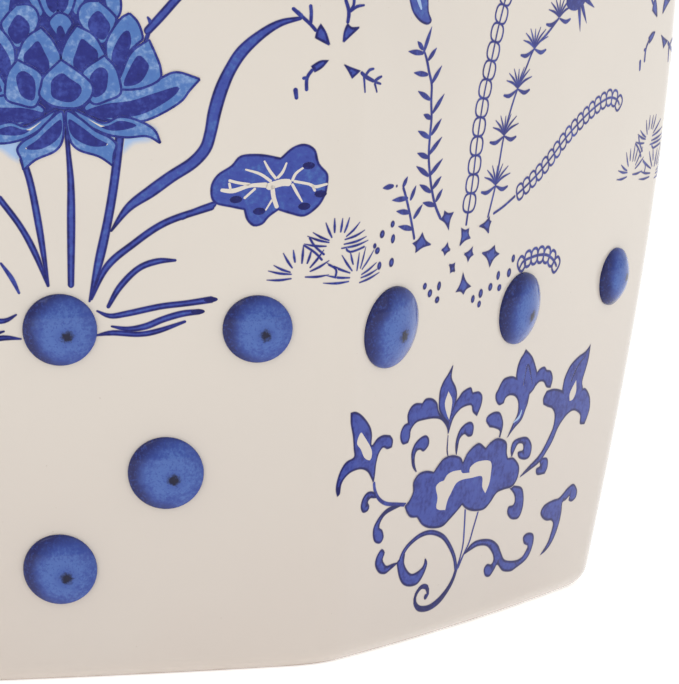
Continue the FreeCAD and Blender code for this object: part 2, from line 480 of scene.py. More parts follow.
@dataclass
class Barrel:
    """The stool's hexagonal barrel, and the trees that lay flat work on its wall.

    A place on the wall is an anchor, counted in half sides from the middle of the front, a distance along
    the wall from that anchor, and a height.
    """

    height: float = 457.0
    foot_half_width: float = 119.8
    belly_half_width: float = 153.7
    belly_roundness: float = 0.75
    side_bow_radius: float = 584.0
    corner_radius_foot: float = 20.6
    corner_radius_body: float = 14.8
    corner_blend_height: float = 88.8
    trees: dict[str, tuple[NodeTree, dict[str, str]]] = field(default_factory=dict)

    def sizes(self) -> dict[str, tuple[str, float]]:
        """The barrel's sizes as tree inputs.

        Returns:
            For each input its socket type and its value.
        """
        values = {
            "Height": self.height * MM,
            "Foot half width": self.foot_half_width * MM,
            "Belly half width": self.belly_half_width * MM,
            "Belly roundness": self.belly_roundness,
            "Side bow radius": self.side_bow_radius * MM,
            "Corner radius at the foot": self.corner_radius_foot * MM,
            "Corner radius of the body": self.corner_radius_body * MM,
            "Corner blend height": self.corner_blend_height * MM,
        }
        return {name: ("NodeSocketFloat", value) for name, value in values.items()}

    def wrap(self, sheet: NodeSheet, entry: Node,
             geometry: NodeSocket) -> NodeSocket:
        """Writes the nodes that bend flat work round the wall.

        Args:
            sheet: sheet of the tree.
            entry: the tree's input node, with the barrel's sizes.
            geometry: the flat work.

        Returns:
            The bent work, which keeps the direction that the wall faces as wall_normal.
        """
        size = {name: Wire(sheet, entry.outputs[name]) for name in self.sizes()}
        height = size["Height"]
        belly = size["Belly half width"]
        roundness = size["Belly roundness"]
        bow = size["Side bow radius"]
        swell = belly - size["Foot half width"]
        along, inward, level = sheet.parts(sheet.node("GeometryNodeInputPosition").outputs[0])
        lift = -inward

        def attribute(name: str) -> Wire:
            """A number kept on the flat work."""
            return sheet.wire("GeometryNodeInputNamedAttribute", 0, {"data_type": "FLOAT"}, {"Name": name})

        signed = level * 2.0 / height - 1.0
        up = sheet.math("ABSOLUTE", signed)
        hollow = sheet.length(up, roundness)
        span = sheet.math("SQRT", roundness * roundness + 1.0) - roundness
        half_width = belly - swell * (hollow - roundness) / span
        lean_in = -(swell / span) * (up / hollow) * sheet.math("SIGN", signed) * 2.0 / height
        from_end = sheet.math("MINIMUM", level, height - level)
        blend = (from_end / size["Corner blend height"]).clipped()
        small = size["Corner radius at the foot"]
        corner = small + (size["Corner radius of the body"] - small) * blend

        behind = half_width - bow
        reach = behind * cos(pi / SIDES)
        inner = bow - corner
        to_corner = reach + sheet.math("SQRT", reach * reach - behind * behind + inner * inner)
        corner_out = to_corner * cos(pi / SIDES)
        corner_across = to_corner * sin(pi / SIDES)
        meet = sheet.math("ARCTAN2", corner_across, corner_out - behind)
        bow_length = bow * meet
        side = (bow_length + corner * (pi / SIDES - meet)) * 2.0

        travel = attribute("anchor") * side * 0.5 + along
        number = sheet.math("ROUND", travel / side)
        travel = travel - number * side
        facing = number * (2.0 * pi / SIDES) - pi / 2.0
        away = sheet.math("ABSOLUTE", travel)
        which = sheet.math("SIGN", travel)
        on_bow = sheet.math("MINIMUM", away, bow_length) / bow
        turn = on_bow + sheet.math("MAXIMUM", away - bow_length, 0.0) / corner
        cos_bow, sin_bow = sheet.math("COSINE", on_bow), sheet.math("SINE", on_bow)
        cos_turn, sin_turn = sheet.math("COSINE", turn), sheet.math("SINE", turn)
        out = behind + bow * cos_bow + corner * (cos_turn - cos_bow) + lift * cos_turn
        across = (bow * sin_bow + corner * (sin_turn - sin_bow) + lift * sin_turn) * which
        shrink = attribute("shrink")
        cos_face, sin_face = sheet.math("COSINE", facing), sheet.math("SINE", facing)

        def turned(first: Wire, second: Wire, third: Wire) -> NodeSocket:
            """A vector from its outward, sideways and upward parts."""
            return sheet.vector(first * cos_face - second * sin_face,
                                first * sin_face + second * cos_face, third)

        place = turned(out * shrink, across * shrink, level + attribute("rise"))
        square = turned(cos_turn, sin_turn * which, -lean_in * cos_turn)
        normal = sheet.node("ShaderNodeVectorMath", {"operation": "NORMALIZE"}, {0: square}).outputs[0]
        kept = sheet.node("GeometryNodeStoreNamedAttribute", {"data_type": "FLOAT_VECTOR"},
                          {"Geometry": geometry, "Name": "wall_normal", "Value": normal})
        moved = sheet.node("GeometryNodeSetPosition", {}, {"Geometry": kept.outputs[0], "Position": place})
        return moved.outputs[0]

    def tree(self, name: str, extra: dict[str, str]) -> tuple[NodeSheet, Node]:
        """Starts a tree with the barrel's sizes as its inputs.

        Args:
            name: name of the tree.
            extra: further inputs and their socket types.

        Returns:
            The tree's sheet and its input node.
        """
        tree = bpy.data.node_groups.new(name, "GeometryNodeTree")
        tree.interface.new_socket("Geometry", in_out="OUTPUT", socket_type="NodeSocketGeometry")
        tree_input(tree, "Geometry", "NodeSocketGeometry")
        kinds = {key: kind for key, (kind, _) in self.sizes().items()}
        names = {key: tree_input(tree, key, kind) for key, kind in {**kinds, **extra}.items()}
        sheet = NodeSheet(tree)
        entry = sheet.node("NodeGroupInput")
        self.trees[name] = (tree, names)
        return sheet, entry

    def finish_tree(self, sheet: NodeSheet, entry: Node, geometry: NodeSocket) -> None:
        """Ends a tree with real geometry and its finish.

        Args:
            sheet: sheet of the tree.
            entry: the tree's input node.
            geometry: what the tree has made.
        """
        real = sheet.node("GeometryNodeRealizeInstances", {}, {0: geometry})
        dressed = sheet.node("GeometryNodeSetMaterial", {}, {"Geometry": real.outputs[0],
                                                             "Material": entry.outputs["Finish"]})
        sheet.node("NodeGroupOutput", {}, {0: dressed.outputs[0]})

    def wall_tree(self) -> str:
        """Writes the tree that bends flat work round the wall, and returns its name."""
        name = "bend_round_the_wall"
        if name not in self.trees:
            sheet, entry = self.tree(name, {"Finish": "NodeSocketMaterial"})
            self.finish_tree(sheet, entry, self.wrap(sheet, entry, entry.outputs["Geometry"]))
        return name

    def stud_tree(self) -> str:
        """Writes the tree that sets a stud on each marked place of the wall, and returns its name."""
        name = "set_studs_on_the_wall"
        if name not in self.trees:
            sheet, entry = self.tree(name, {"Stud": "NodeSocketObject", "Seed": "NodeSocketInt",
                                               "Finish": "NodeSocketMaterial"})
            places = self.wrap(sheet, entry, entry.outputs["Geometry"])
            stud = sheet.node("GeometryNodeObjectInfo", {}, {"Object": entry.outputs["Stud"]})
            spin = sheet.node("FunctionNodeRandomValue", {"data_type": "FLOAT"},
                              {2: -0.5, 3: 0.5, "Seed": entry.outputs["Seed"]}).outputs[1]
            about = sheet.node("FunctionNodeEulerToRotation", {}, {0: sheet.vector(0.0, 0.0, spin)})
            normal = sheet.node("GeometryNodeInputNamedAttribute", {"data_type": "FLOAT_VECTOR"},
                                {"Name": "wall_normal"}).outputs[0]
            upright = sheet.node("FunctionNodeAxesToRotation", {"primary_axis": "Z", "secondary_axis": "Y"},
                                 {0: normal, 1: (0.0, 0.0, 1.0)}).outputs[0]
            turned = sheet.node("FunctionNodeRotateRotation", {"rotation_space": "LOCAL"},
                                {0: upright, 1: about.outputs[0]})
            share = sheet.node("GeometryNodeInputNamedAttribute", {}, {"Name": "share"}).outputs[0]
            set_on = sheet.node("GeometryNodeInstanceOnPoints", {}, {
                "Points": places, "Instance": stud.outputs["Geometry"], "Rotation": turned.outputs[0],
                "Scale": sheet.vector(share, share, 1.0)})
            self.finish_tree(sheet, entry, set_on.outputs[0])
        return name

    def seat_tree(self) -> str:
        """Writes the tree that lays flat work down on the seat, and returns its name."""
        name = "lay_on_the_seat"
        if name not in self.trees:
            sheet, entry = self.tree(name, {"Seat": "NodeSocketObject", "Finish": "NodeSocketMaterial"})
            x, inward, y = sheet.parts(sheet.node("GeometryNodeInputPosition").outputs[0])
            seat = sheet.node("GeometryNodeObjectInfo", {}, {"Object": entry.outputs["Seat"]})
            hit = sheet.node("GeometryNodeRaycast", {}, {
                "Target Geometry": seat.outputs["Geometry"], "Source Position": sheet.vector(x, y, 1.0),
                "Ray Direction": (0.0, 0.0, -1.0), "Ray Length": 2.0})
            landed = sheet.parts(hit.outputs["Hit Position"])[2]
            moved = sheet.node("GeometryNodeSetPosition", {}, {
                "Geometry": entry.outputs["Geometry"], "Position": sheet.vector(x, y, landed - inward)})
            self.finish_tree(sheet, entry, moved.outputs[0])
        return name

    def shaped(self, flat: Object, tree_name: str, name: str, **others: Any) -> Object:
        """Runs a tree on flat work.

        Args:
            flat: the flat work; it is used up.
            tree_name: name of the tree.
            name: name of the finished piece.
            others: the tree's further inputs by name.

        Returns:
            The finished piece.
        """
        tree, names = self.trees[tree_name]
        modifier = flat.modifiers.new(tree_name, "NODES")
        values = {key: value for key, (_, value) in self.sizes().items()}
        modifier.node_group = tree
        for key, value in {**values, **others}.items():
            modifier[names[key]] = value
        return finished_mesh(flat, name)


@dataclass
class Coin:
    """The coin-shaped piercing: four petals and a middle between four curved ribs."""

    radius: float = 38.0
    rib: float = 7.5
    arc_points: int = 20

    def outlines(self) -> list[list[Point]]:
        """The five openings.

        Returns:
            For each opening its outline round the coin's centre.
        """
        small = self.radius - self.rib / 2.0
        large = self.radius + self.rib / 2.0
        found = []
        for quarter in range(4):
            found.append(self.petal(small, quarter * pi / 2.0 + pi / 4.0))
        found.append(self.middle(large))
        return found

    def petal(self, small: float, towards: float) -> list[Point]:
        """One petal: what the coin's disc and a rib's inner circle share.

        Args:
            small: radius of the rib's inner circle.
            towards: direction of the petal.

        Returns:
            Its outline.
        """
        apart = self.radius * math.sqrt(2.0)
        chord_at = (apart ** 2 + self.radius ** 2 - small ** 2) / (2.0 * apart)
        outer_half = math.acos(chord_at / self.radius)
        inner_half = math.acos((apart - chord_at) / small)
        outline = []
        for step in range(self.arc_points):
            angle = -outer_half + 2.0 * outer_half * step / self.arc_points
            outline.append((self.radius * cos(angle), self.radius * sin(angle)))
        for step in range(self.arc_points):
            angle = pi - inner_half + 2.0 * inner_half * step / self.arc_points
            outline.append((apart + small * cos(angle), small * sin(angle)))
        turned = []
        for x, y in outline:
            turned.append((x * cos(towards) - y * sin(towards), x * sin(towards) + y * cos(towards)))
        return turned

    def middle(self, large: float) -> list[Point]:
        """The opening in the middle, between the ribs' outer circles.

        Args:
            large: radius of the ribs' outer circles.

        Returns:
            Its outline.
        """
        cusp = self.radius - math.sqrt(large ** 2 - self.radius ** 2)
        half = math.atan2(self.radius, self.radius - cusp) - pi / 4.0
        outline = []
        for quarter in range(4):
            towards = quarter * pi / 2.0 + pi / 4.0
            centre = (self.radius * math.sqrt(2.0) * cos(towards),
                      self.radius * math.sqrt(2.0) * sin(towards))
            for step in range(self.arc_points):
                angle = towards + pi + half * (1.0 - 2.0 * step / self.arc_points)
                outline.append((centre[0] + large * cos(angle), centre[1] + large * sin(angle)))
        return outline


@dataclass
class GlazedBody:
    """The luted walls and seat under one skin of glaze, pierced with three coins."""

    barrel: Barrel
    coin: Coin = field(default_factory=Coin)
    wall: float = 13.0
    foot_edge_radius: float = 4.5
    seat_edge_radius: float = 9.0
    seat_thickness: float = 17.0
    seat_crown: float = 5.0
    side_coin_height: float = 286.0
    wall_step: float = 5.0
    flat_share: float = 0.84
    flat_steps: int = 12
    corner_steps: int = 14
    cut_edge_round: float = 1.1
    cut_margin: float = 2.0
    cut_angle: float = 60.0
    smooth_angle: float = 50.0

    def anchors(self) -> list[float]:
        """Places round the wall, close together at the corners."""
        half = [self.flat_share * step / self.flat_steps for step in range(self.flat_steps)]
        rest = 1.0 - self.flat_share
        half += [self.flat_share + rest * step / self.corner_steps for step in range(self.corner_steps)]
        side = list(half) + [1.0] + [2.0 - part for part in reversed(half[1:])]
        return [2.0 * number + part for number in range(SIDES) for part in side]

    def profile(self) -> list[Ring]:
        """The skin's rings from the middle of the seat, down outside and up inside to below the seat.

        Returns:
            For each ring its lift, its level on the wall, its share of the outline and its rise.
        """
        top = self.barrel.height - self.seat_crown
        edge = self.seat_edge_radius
        foot = self.foot_edge_radius
        rings = []
        for share in np.linspace(0.03, 0.97, 24):
            rings.append((-edge, top, float(share), self.seat_crown * (1.0 - float(share) ** 2)))
        for step in range(9):
            angle = pi / 2.0 * (1.0 - step / 8.0)
            rings.append((-edge + edge * cos(angle), top - edge + edge * sin(angle), 1.0, 0.0))
        count = round((top - edge - foot) / self.wall_step)
        for step in range(1, count):
            rings.append((0.0, top - edge - (top - edge - foot) * step / count, 1.0, 0.0))
        for step in range(7):
            angle = pi / 2.0 * step / 6.0
            rings.append((-foot + foot * cos(angle), foot - foot * sin(angle), 1.0, 0.0))
        rings.append((-self.wall + 1.0, 0.0, 1.0, 0.0))
        under = top - self.seat_thickness
        for level in np.linspace(0.0, under, 48):
            rings.append((-self.wall, float(level), 1.0, 0.0))
        for share in np.linspace(0.92, 0.04, 10):
            rings.append((-self.wall, under, float(share), 0.0))
        return rings

    def flat_skin(self) -> Object:
        """The skin before it is bent: every ring of the profile, joined to the next, and two poles."""
        anchors = self.anchors()
        rings = self.profile()
        around = len(anchors)
        points = [(0.0, -lift * MM, level * MM) for lift, level, _, _ in rings for _ in anchors]
        around_each = [anchor for _ in rings for anchor in anchors]
        shrink = [share for _, _, share, _ in rings for _ in anchors]
        rise = [up * MM for _, _, _, up in rings for _ in anchors]
        faces = []
        for ring in range(len(rings) - 1):
            for place in range(around):
                after = (place + 1) % around
                faces.append((ring * around + place, (ring + 1) * around + place,
                              (ring + 1) * around + after, ring * around + after))
        for ring, first in ((0, True), (len(rings) - 1, False)):
            lift, level, _, _ = rings[ring]
            pole = len(points)
            points.append((0.0, -lift * MM, level * MM))
            around_each.append(0.0)
            shrink.append(0.0)
            rise.append(self.seat_crown * MM if first else 0.0)
            for place in range(around):
                after = (place + 1) % around
                rim = (ring * around + place, ring * around + after)
                faces.append((pole, rim[0], rim[1]) if first else (pole, rim[1], rim[0]))
        mesh = bpy.data.meshes.new("flat_skin")
        mesh.from_pydata(points, [], faces)
        store(mesh, "anchor", around_each)
        store(mesh, "shrink", shrink)
        store(mesh, "rise", rise)
        return add_object("flat_skin", mesh)

    def cutters(self) -> Object:
        """Prisms for the coins of the front, the back and the seat, in one object."""
        shape = bmesh.new()
        long = self.barrel.belly_half_width + 20.0
        high = self.barrel.height
        for outline in self.coin.outlines():
            level = [(x, z + self.side_coin_height) for x, z in outline]
            self.prism(shape, [Vector((x, -long, z)) for x, z in level],
                       [Vector((x, long, z)) for x, z in level])
            self.prism(shape, [Vector((x, y, high - 35.0)) for x, y in outline],
                       [Vector((x, y, high + 10.0)) for x, y in outline])
        bmesh.ops.recalc_face_normals(shape, faces=shape.faces)
        mesh = bpy.data.meshes.new("coin_cutters")
        shape.to_mesh(mesh)
        shape.free()
        return add_object("coin_cutters", mesh)

    @staticmethod
    def prism(shape: bmesh.types.BMesh, near: Sequence[Vector], far: Sequence[Vector]) -> None:
        """Adds a closed prism.

        Args:
            shape: mesh that it joins.
            near: outline of one end, in millimetres.
            far: outline of the other end.
        """
        first = [shape.verts.new(point * MM) for point in near]
        second = [shape.verts.new(point * MM) for point in far]
        shape.faces.new(first)
        shape.faces.new(list(reversed(second)))
        for number in range(len(first)):
            after = (number + 1) % len(first)
            shape.faces.new((first[after], first[number], second[number], second[after]))

    def near_a_cut(self, place: Vector) -> bool:
        """Whether a place lies within the reach of one of the three coins."""
        reach = (self.coin.radius + self.cut_margin) * MM
        side = math.hypot(place.x, place.z - self.side_coin_height * MM) < reach and abs(place.y) > 0.1
        seat = math.hypot(place.x, place.y) < reach and place.z > (self.barrel.height - 30.0) * MM
        return side or seat

    def round_cut_edges(self, piece: Object) -> None:
        """Rounds the sharp edges that the cutters leave.

        Args:
            piece: the pierced skin.
        """
        shape = bmesh.new()
        shape.from_mesh(piece.data)
        bmesh.ops.remove_doubles(shape, verts=shape.verts, dist=0.00002)
        sharp = []
        for edge in shape.edges:
            if len(edge.link_faces) == 2 and edge.calc_face_angle() > math.radians(self.cut_angle):
                middle = (edge.verts[0].co + edge.verts[1].co) / 2.0
                if self.near_a_cut(middle):
                    sharp.append(edge)
        bmesh.ops.bevel(shape, geom=sharp, offset=self.cut_edge_round * MM, offset_type="OFFSET",
                        segments=3, profile=0.5, affect="EDGES", clamp_overlap=True)
        bmesh.ops.triangulate(shape, faces=[face for face in shape.faces if len(face.verts) > 4])
        shape.to_mesh(piece.data)
        shape.free()

    def build(self, glaze: Material) -> Object:
        """Builds the skin and takes it into the frame.

        Args:
            glaze: the glaze's material.

        Returns:
            The skin, in place of the walls and the seat slab.
        """
        skin = self.barrel.shaped(self.flat_skin(), self.barrel.wall_tree(), "skin_before_piercing",
                                  Finish=glaze)
        cutters = self.cutters()
        cut = skin.modifiers.new("pierce", "BOOLEAN")
        cut.operation = "DIFFERENCE"
        cut.solver = "EXACT"
        cut.object = cutters
        body = finished_mesh(skin, "glazed_body")
        bpy.data.objects.remove(cutters)
        self.round_cut_edges(body)
        body.data.materials.clear()
        body.data.materials.append(glaze)
        body.data.polygons.foreach_set("material_index", [0] * len(body.data.polygons))
        body.data.shade_smooth()
        body.data.set_sharp_from_angle(angle=math.radians(self.smooth_angle))
        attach(body, "root")
        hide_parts("seat_slab", *["side_panel_%d" % number for number in range(1, SIDES + 1)])
        return body


@dataclass
class Studs:
    """Domed studs, luted on by eye in rows and in threes."""

    barrel: Barrel
    radius: float = 9.8
    dome: float = 3.0
    rim: float = 0.7
    sunk: float = 0.35
    rim_round: float = 0.55
    wall_top: float = 435.0
    around: int = 48
    lotus_row: tuple[Place, ...] = ((-55.6, 91.4, 1.0), (5.0, 94.2, 0.98), (55.4, 91.7, 0.92))
    weed_row: tuple[Place, ...] = ((-58.4, 88.1, 1.11), (1.2, 84.8, 0.99), (53.3, 86.1, 0.8))
    lotus_trio: tuple[Place, ...] = ((-29.6, 55.0, 1.0), (29.5, 54.8, 1.0), (0.6, 30.3, 0.98))

    def profile(self) -> list[Point]:
        """Half outline of a stud from the middle of the dome to its seat."""
        sphere = (self.radius ** 2 + self.dome ** 2) / (2.0 * self.dome)
        reach = math.asin(self.radius / sphere)
        top = self.rim + self.dome
        line = []
        for step in range(1, 11):
            angle = reach * 0.94 * step / 10.0
            line.append((sphere * sin(angle), top - sphere * (1.0 - cos(angle))))
        line.append((self.radius - self.rim_round * 0.35, self.rim + 0.12))
        line.append((self.radius - 0.05, self.rim - 0.2))
        line.append((self.radius, 0.0))
        line.append((self.radius, -self.sunk))
        return line

    def dome_object(self) -> Object:
        """One stud at the origin, facing up, that keeps where each point is on it."""
        line = self.profile()
        points = [(0.0, 0.0, (self.rim + self.dome) * MM)]
        local = [(0.0, 0.0, 0.0)]
        for distance, level in line:
            for place in range(self.around):
                angle = 2.0 * pi * place / self.around
                x, y = cos(angle), sin(angle)
                points.append((distance * x * MM, distance * y * MM, level * MM))
                local.append((x * distance / self.radius, y * distance / self.radius, 0.0))
        faces = []
        for place in range(self.around):
            faces.append((0, 1 + place, 1 + (place + 1) % self.around))
        for ring in range(len(line) - 1):
            for place in range(self.around):
                after = (place + 1) % self.around
                start = 1 + ring * self.around
                faces.append((start + place, start + self.around + place,
                              start + self.around + after, start + after))
        last = 1 + (len(line) - 1) * self.around
        faces.append(tuple(last + place for place in reversed(range(self.around))))
        mesh = bpy.data.meshes.new("stud_dome")
        mesh.from_pydata(points, [], faces)
        layer = mesh.attributes.new("on_stud", "FLOAT_VECTOR", "POINT")
        layer.data.foreach_set("vector", np.asarray(local, dtype=np.float32).ravel())
        mesh.shade_smooth()
        return add_object("stud_dome", mesh)

    def group(self, node: str, places: Iterable[Place], side: int, half: Half, stud: Object,
              glaze: Material) -> Object:
        """Sets one group of studs.

        Args:
            node: the CAD node that the group stands for.
            places: distance from the middle of the side, height and share of the usual radius of each stud.
            side: number of the side.
            half: half of the wall; the upper groups are measured down from the seat.
            stud: the stud that is repeated.
            glaze: the studs' material.

        Returns:
            The group.
        """
        points = []
        shares = []
        for along, level, share in places:
            high = self.wall_top - level if half is Half.UPPER else level
            points.append((along * MM, 0.0, high * MM))
            shares.append(share)
        mesh = bpy.data.meshes.new(node + "_places")
        mesh.from_pydata(points, [], [])
        hang(mesh, 2.0 * (side - 1))
        store(mesh, "share", shares)
        piece = self.barrel.shaped(add_object(node + "_places", mesh), self.barrel.stud_tree(),
                                   "glazed_" + node, Stud=stud, Seed=side * 7 + len(node), Finish=glaze)
        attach(piece, "root")
        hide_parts(node)
        return piece

    def build(self, glaze: Material) -> list[Object]:
        """Sets every stud of the stool.

        Args:
            glaze: the studs' material.

        Returns:
            The groups.
        """
        stud = self.dome_object()
        made = []
        for side in range(1, SIDES + 1):
            lotus = side % 2 == 1
            for half in Half:
                row = self.lotus_row if lotus else self.weed_row
                made.append(self.group("%s_studs_%d" % (half.value, side), row, side, half, stud, glaze))
                if lotus:
                    made.append(self.group("%s_trio_%d" % (half.value, side), self.lotus_trio, side, half,
                                           stud, glaze))
        bpy.data.objects.remove(stud)
        return made


@dataclass(frozen=True)
class Layout:
    """Where a motif goes: moved, scaled, mirrored, straightened or turned upside down about a level."""

    shift: float = 0.0
    raise_by: float = 0.0
    scale: float = 1.0
    mirror: bool = False
    straighten: float = 0.0
    turn_over: Optional[float] = None
    spin: float = 0.0

    def place(self, along: float, level: float) -> tuple[float, float]:
        """Moves one point of a motif to its place."""
        x = (-along if self.mirror else along) * self.scale
        z = level * self.scale
        turned_x = x * cos(self.spin) - z * sin(self.spin)
        turned_z = x * sin(self.spin) + z * cos(self.spin)
        x, z = turned_x + self.shift, turned_z + self.raise_by
        x -= self.straighten * (z - 30.0)
        return x, (self.turn_over - z if self.turn_over is not None else z)


def curve_through(points: np.ndarray, step: float, closed: bool) -> np.ndarray:
    """A smooth curve through points, with every further column carried along.

    Args:
        points: one row for each point; the first two columns are its place.
        step: largest distance between the curve's points.
        closed: whether the curve returns to its start.

    Returns:
        The curve's points.
    """
    count = len(points)
    if closed:
        padded = np.vstack([points[-1], points, points[0], points[1]])
        runs = count
    else:
        padded = np.vstack([2 * points[0] - points[1], points, 2 * points[-1] - points[-2]])
        runs = count - 1
    found = []
    for number in range(runs):
        before, start, end, after = padded[number:number + 4]
        pieces = max(2, math.ceil(float(np.linalg.norm((end - start)[:2])) / step))
        for piece in range(pieces):
            t = piece / pieces
            square = 2 * before - 5 * start + 4 * end - after
            cube = 3 * start - before - 3 * end + after
            found.append(0.5 * (2 * start + (end - before) * t + square * t ** 2 + cube * t ** 3))
    if not closed:
        found.append(points[-1])
    return np.array(found)


def outline_through(points: Points, step: float) -> np.ndarray:
    """A closed outline, smooth but for the points marked with a third number.

    Args:
        points: the outline's points.
        step: largest distance between the outline's points.

    Returns:
        The outline.
    """
    corners = [number for number, point in enumerate(points) if len(point) > 2]
    plain = np.array([point[:2] for point in points], dtype=float)
    if not corners:
        return curve_through(plain, step, True)
    plain = np.roll(plain, -corners[0], axis=0)
    marks = [(corner - corners[0]) % len(points) for corner in corners] + [len(points)]
    plain = np.vstack([plain, plain[0]])
    runs = [curve_through(plain[start:end + 1], step, False)[:-1] for start, end in zip(marks, marks[1:])]
    return np.vstack(runs)


def run_along(line: np.ndarray) -> np.ndarray:
    """How far along a line each of its points is."""
    return np.concatenate([[0.0], np.cumsum(np.linalg.norm(np.diff(line[:, :2], axis=0), axis=1))])


def sideways(way: np.ndarray) -> np.ndarray:
    """Unit vectors to the left of each direction."""
    unit = way / np.maximum(np.linalg.norm(way, axis=1), 1e-9)[:, None]
    return np.column_stack([-unit[:, 1], unit[:, 0]])


def distances(places: np.ndarray, outline: np.ndarray) -> np.ndarray:
    """How far each place is from an outline.

    Args:
        places: the places.
        outline: the closed outline.

    Returns:
        A distance for each place.
    """
    start = outline
    along = np.roll(outline, -1, axis=0) - start
    length = np.maximum((along ** 2).sum(1), 1e-12)
    offset = places[:, None, :] - start[None, :, :]
    share = np.clip((offset * along[None]).sum(2) / length[None], 0.0, 1.0)
    gap = offset - share[:, :, None] * along[None]
    return np.sqrt((gap ** 2).sum(2)).min(1)


def inside(places: np.ndarray, outline: np.ndarray) -> np.ndarray:
    """Which places lie inside an outline.

    Args:
        places: the places.
        outline: the closed outline.

    Returns:
        True for each place inside.
    """
    x, z = places[:, 0][:, None], places[:, 1][:, None]
    x0, z0 = outline[:, 0][None], outline[:, 1][None]
    after = np.roll(outline, -1, axis=0)
    x1, z1 = after[:, 0][None], after[:, 1][None]
    rise = np.where(np.abs(z1 - z0) < 1e-12, 1e-12, z1 - z0)
    crossed = ((z0 > z) != (z1 > z)) & (x < (x1 - x0) * (z - z0) / rise + x0)
    return crossed.sum(1) % 2 == 1


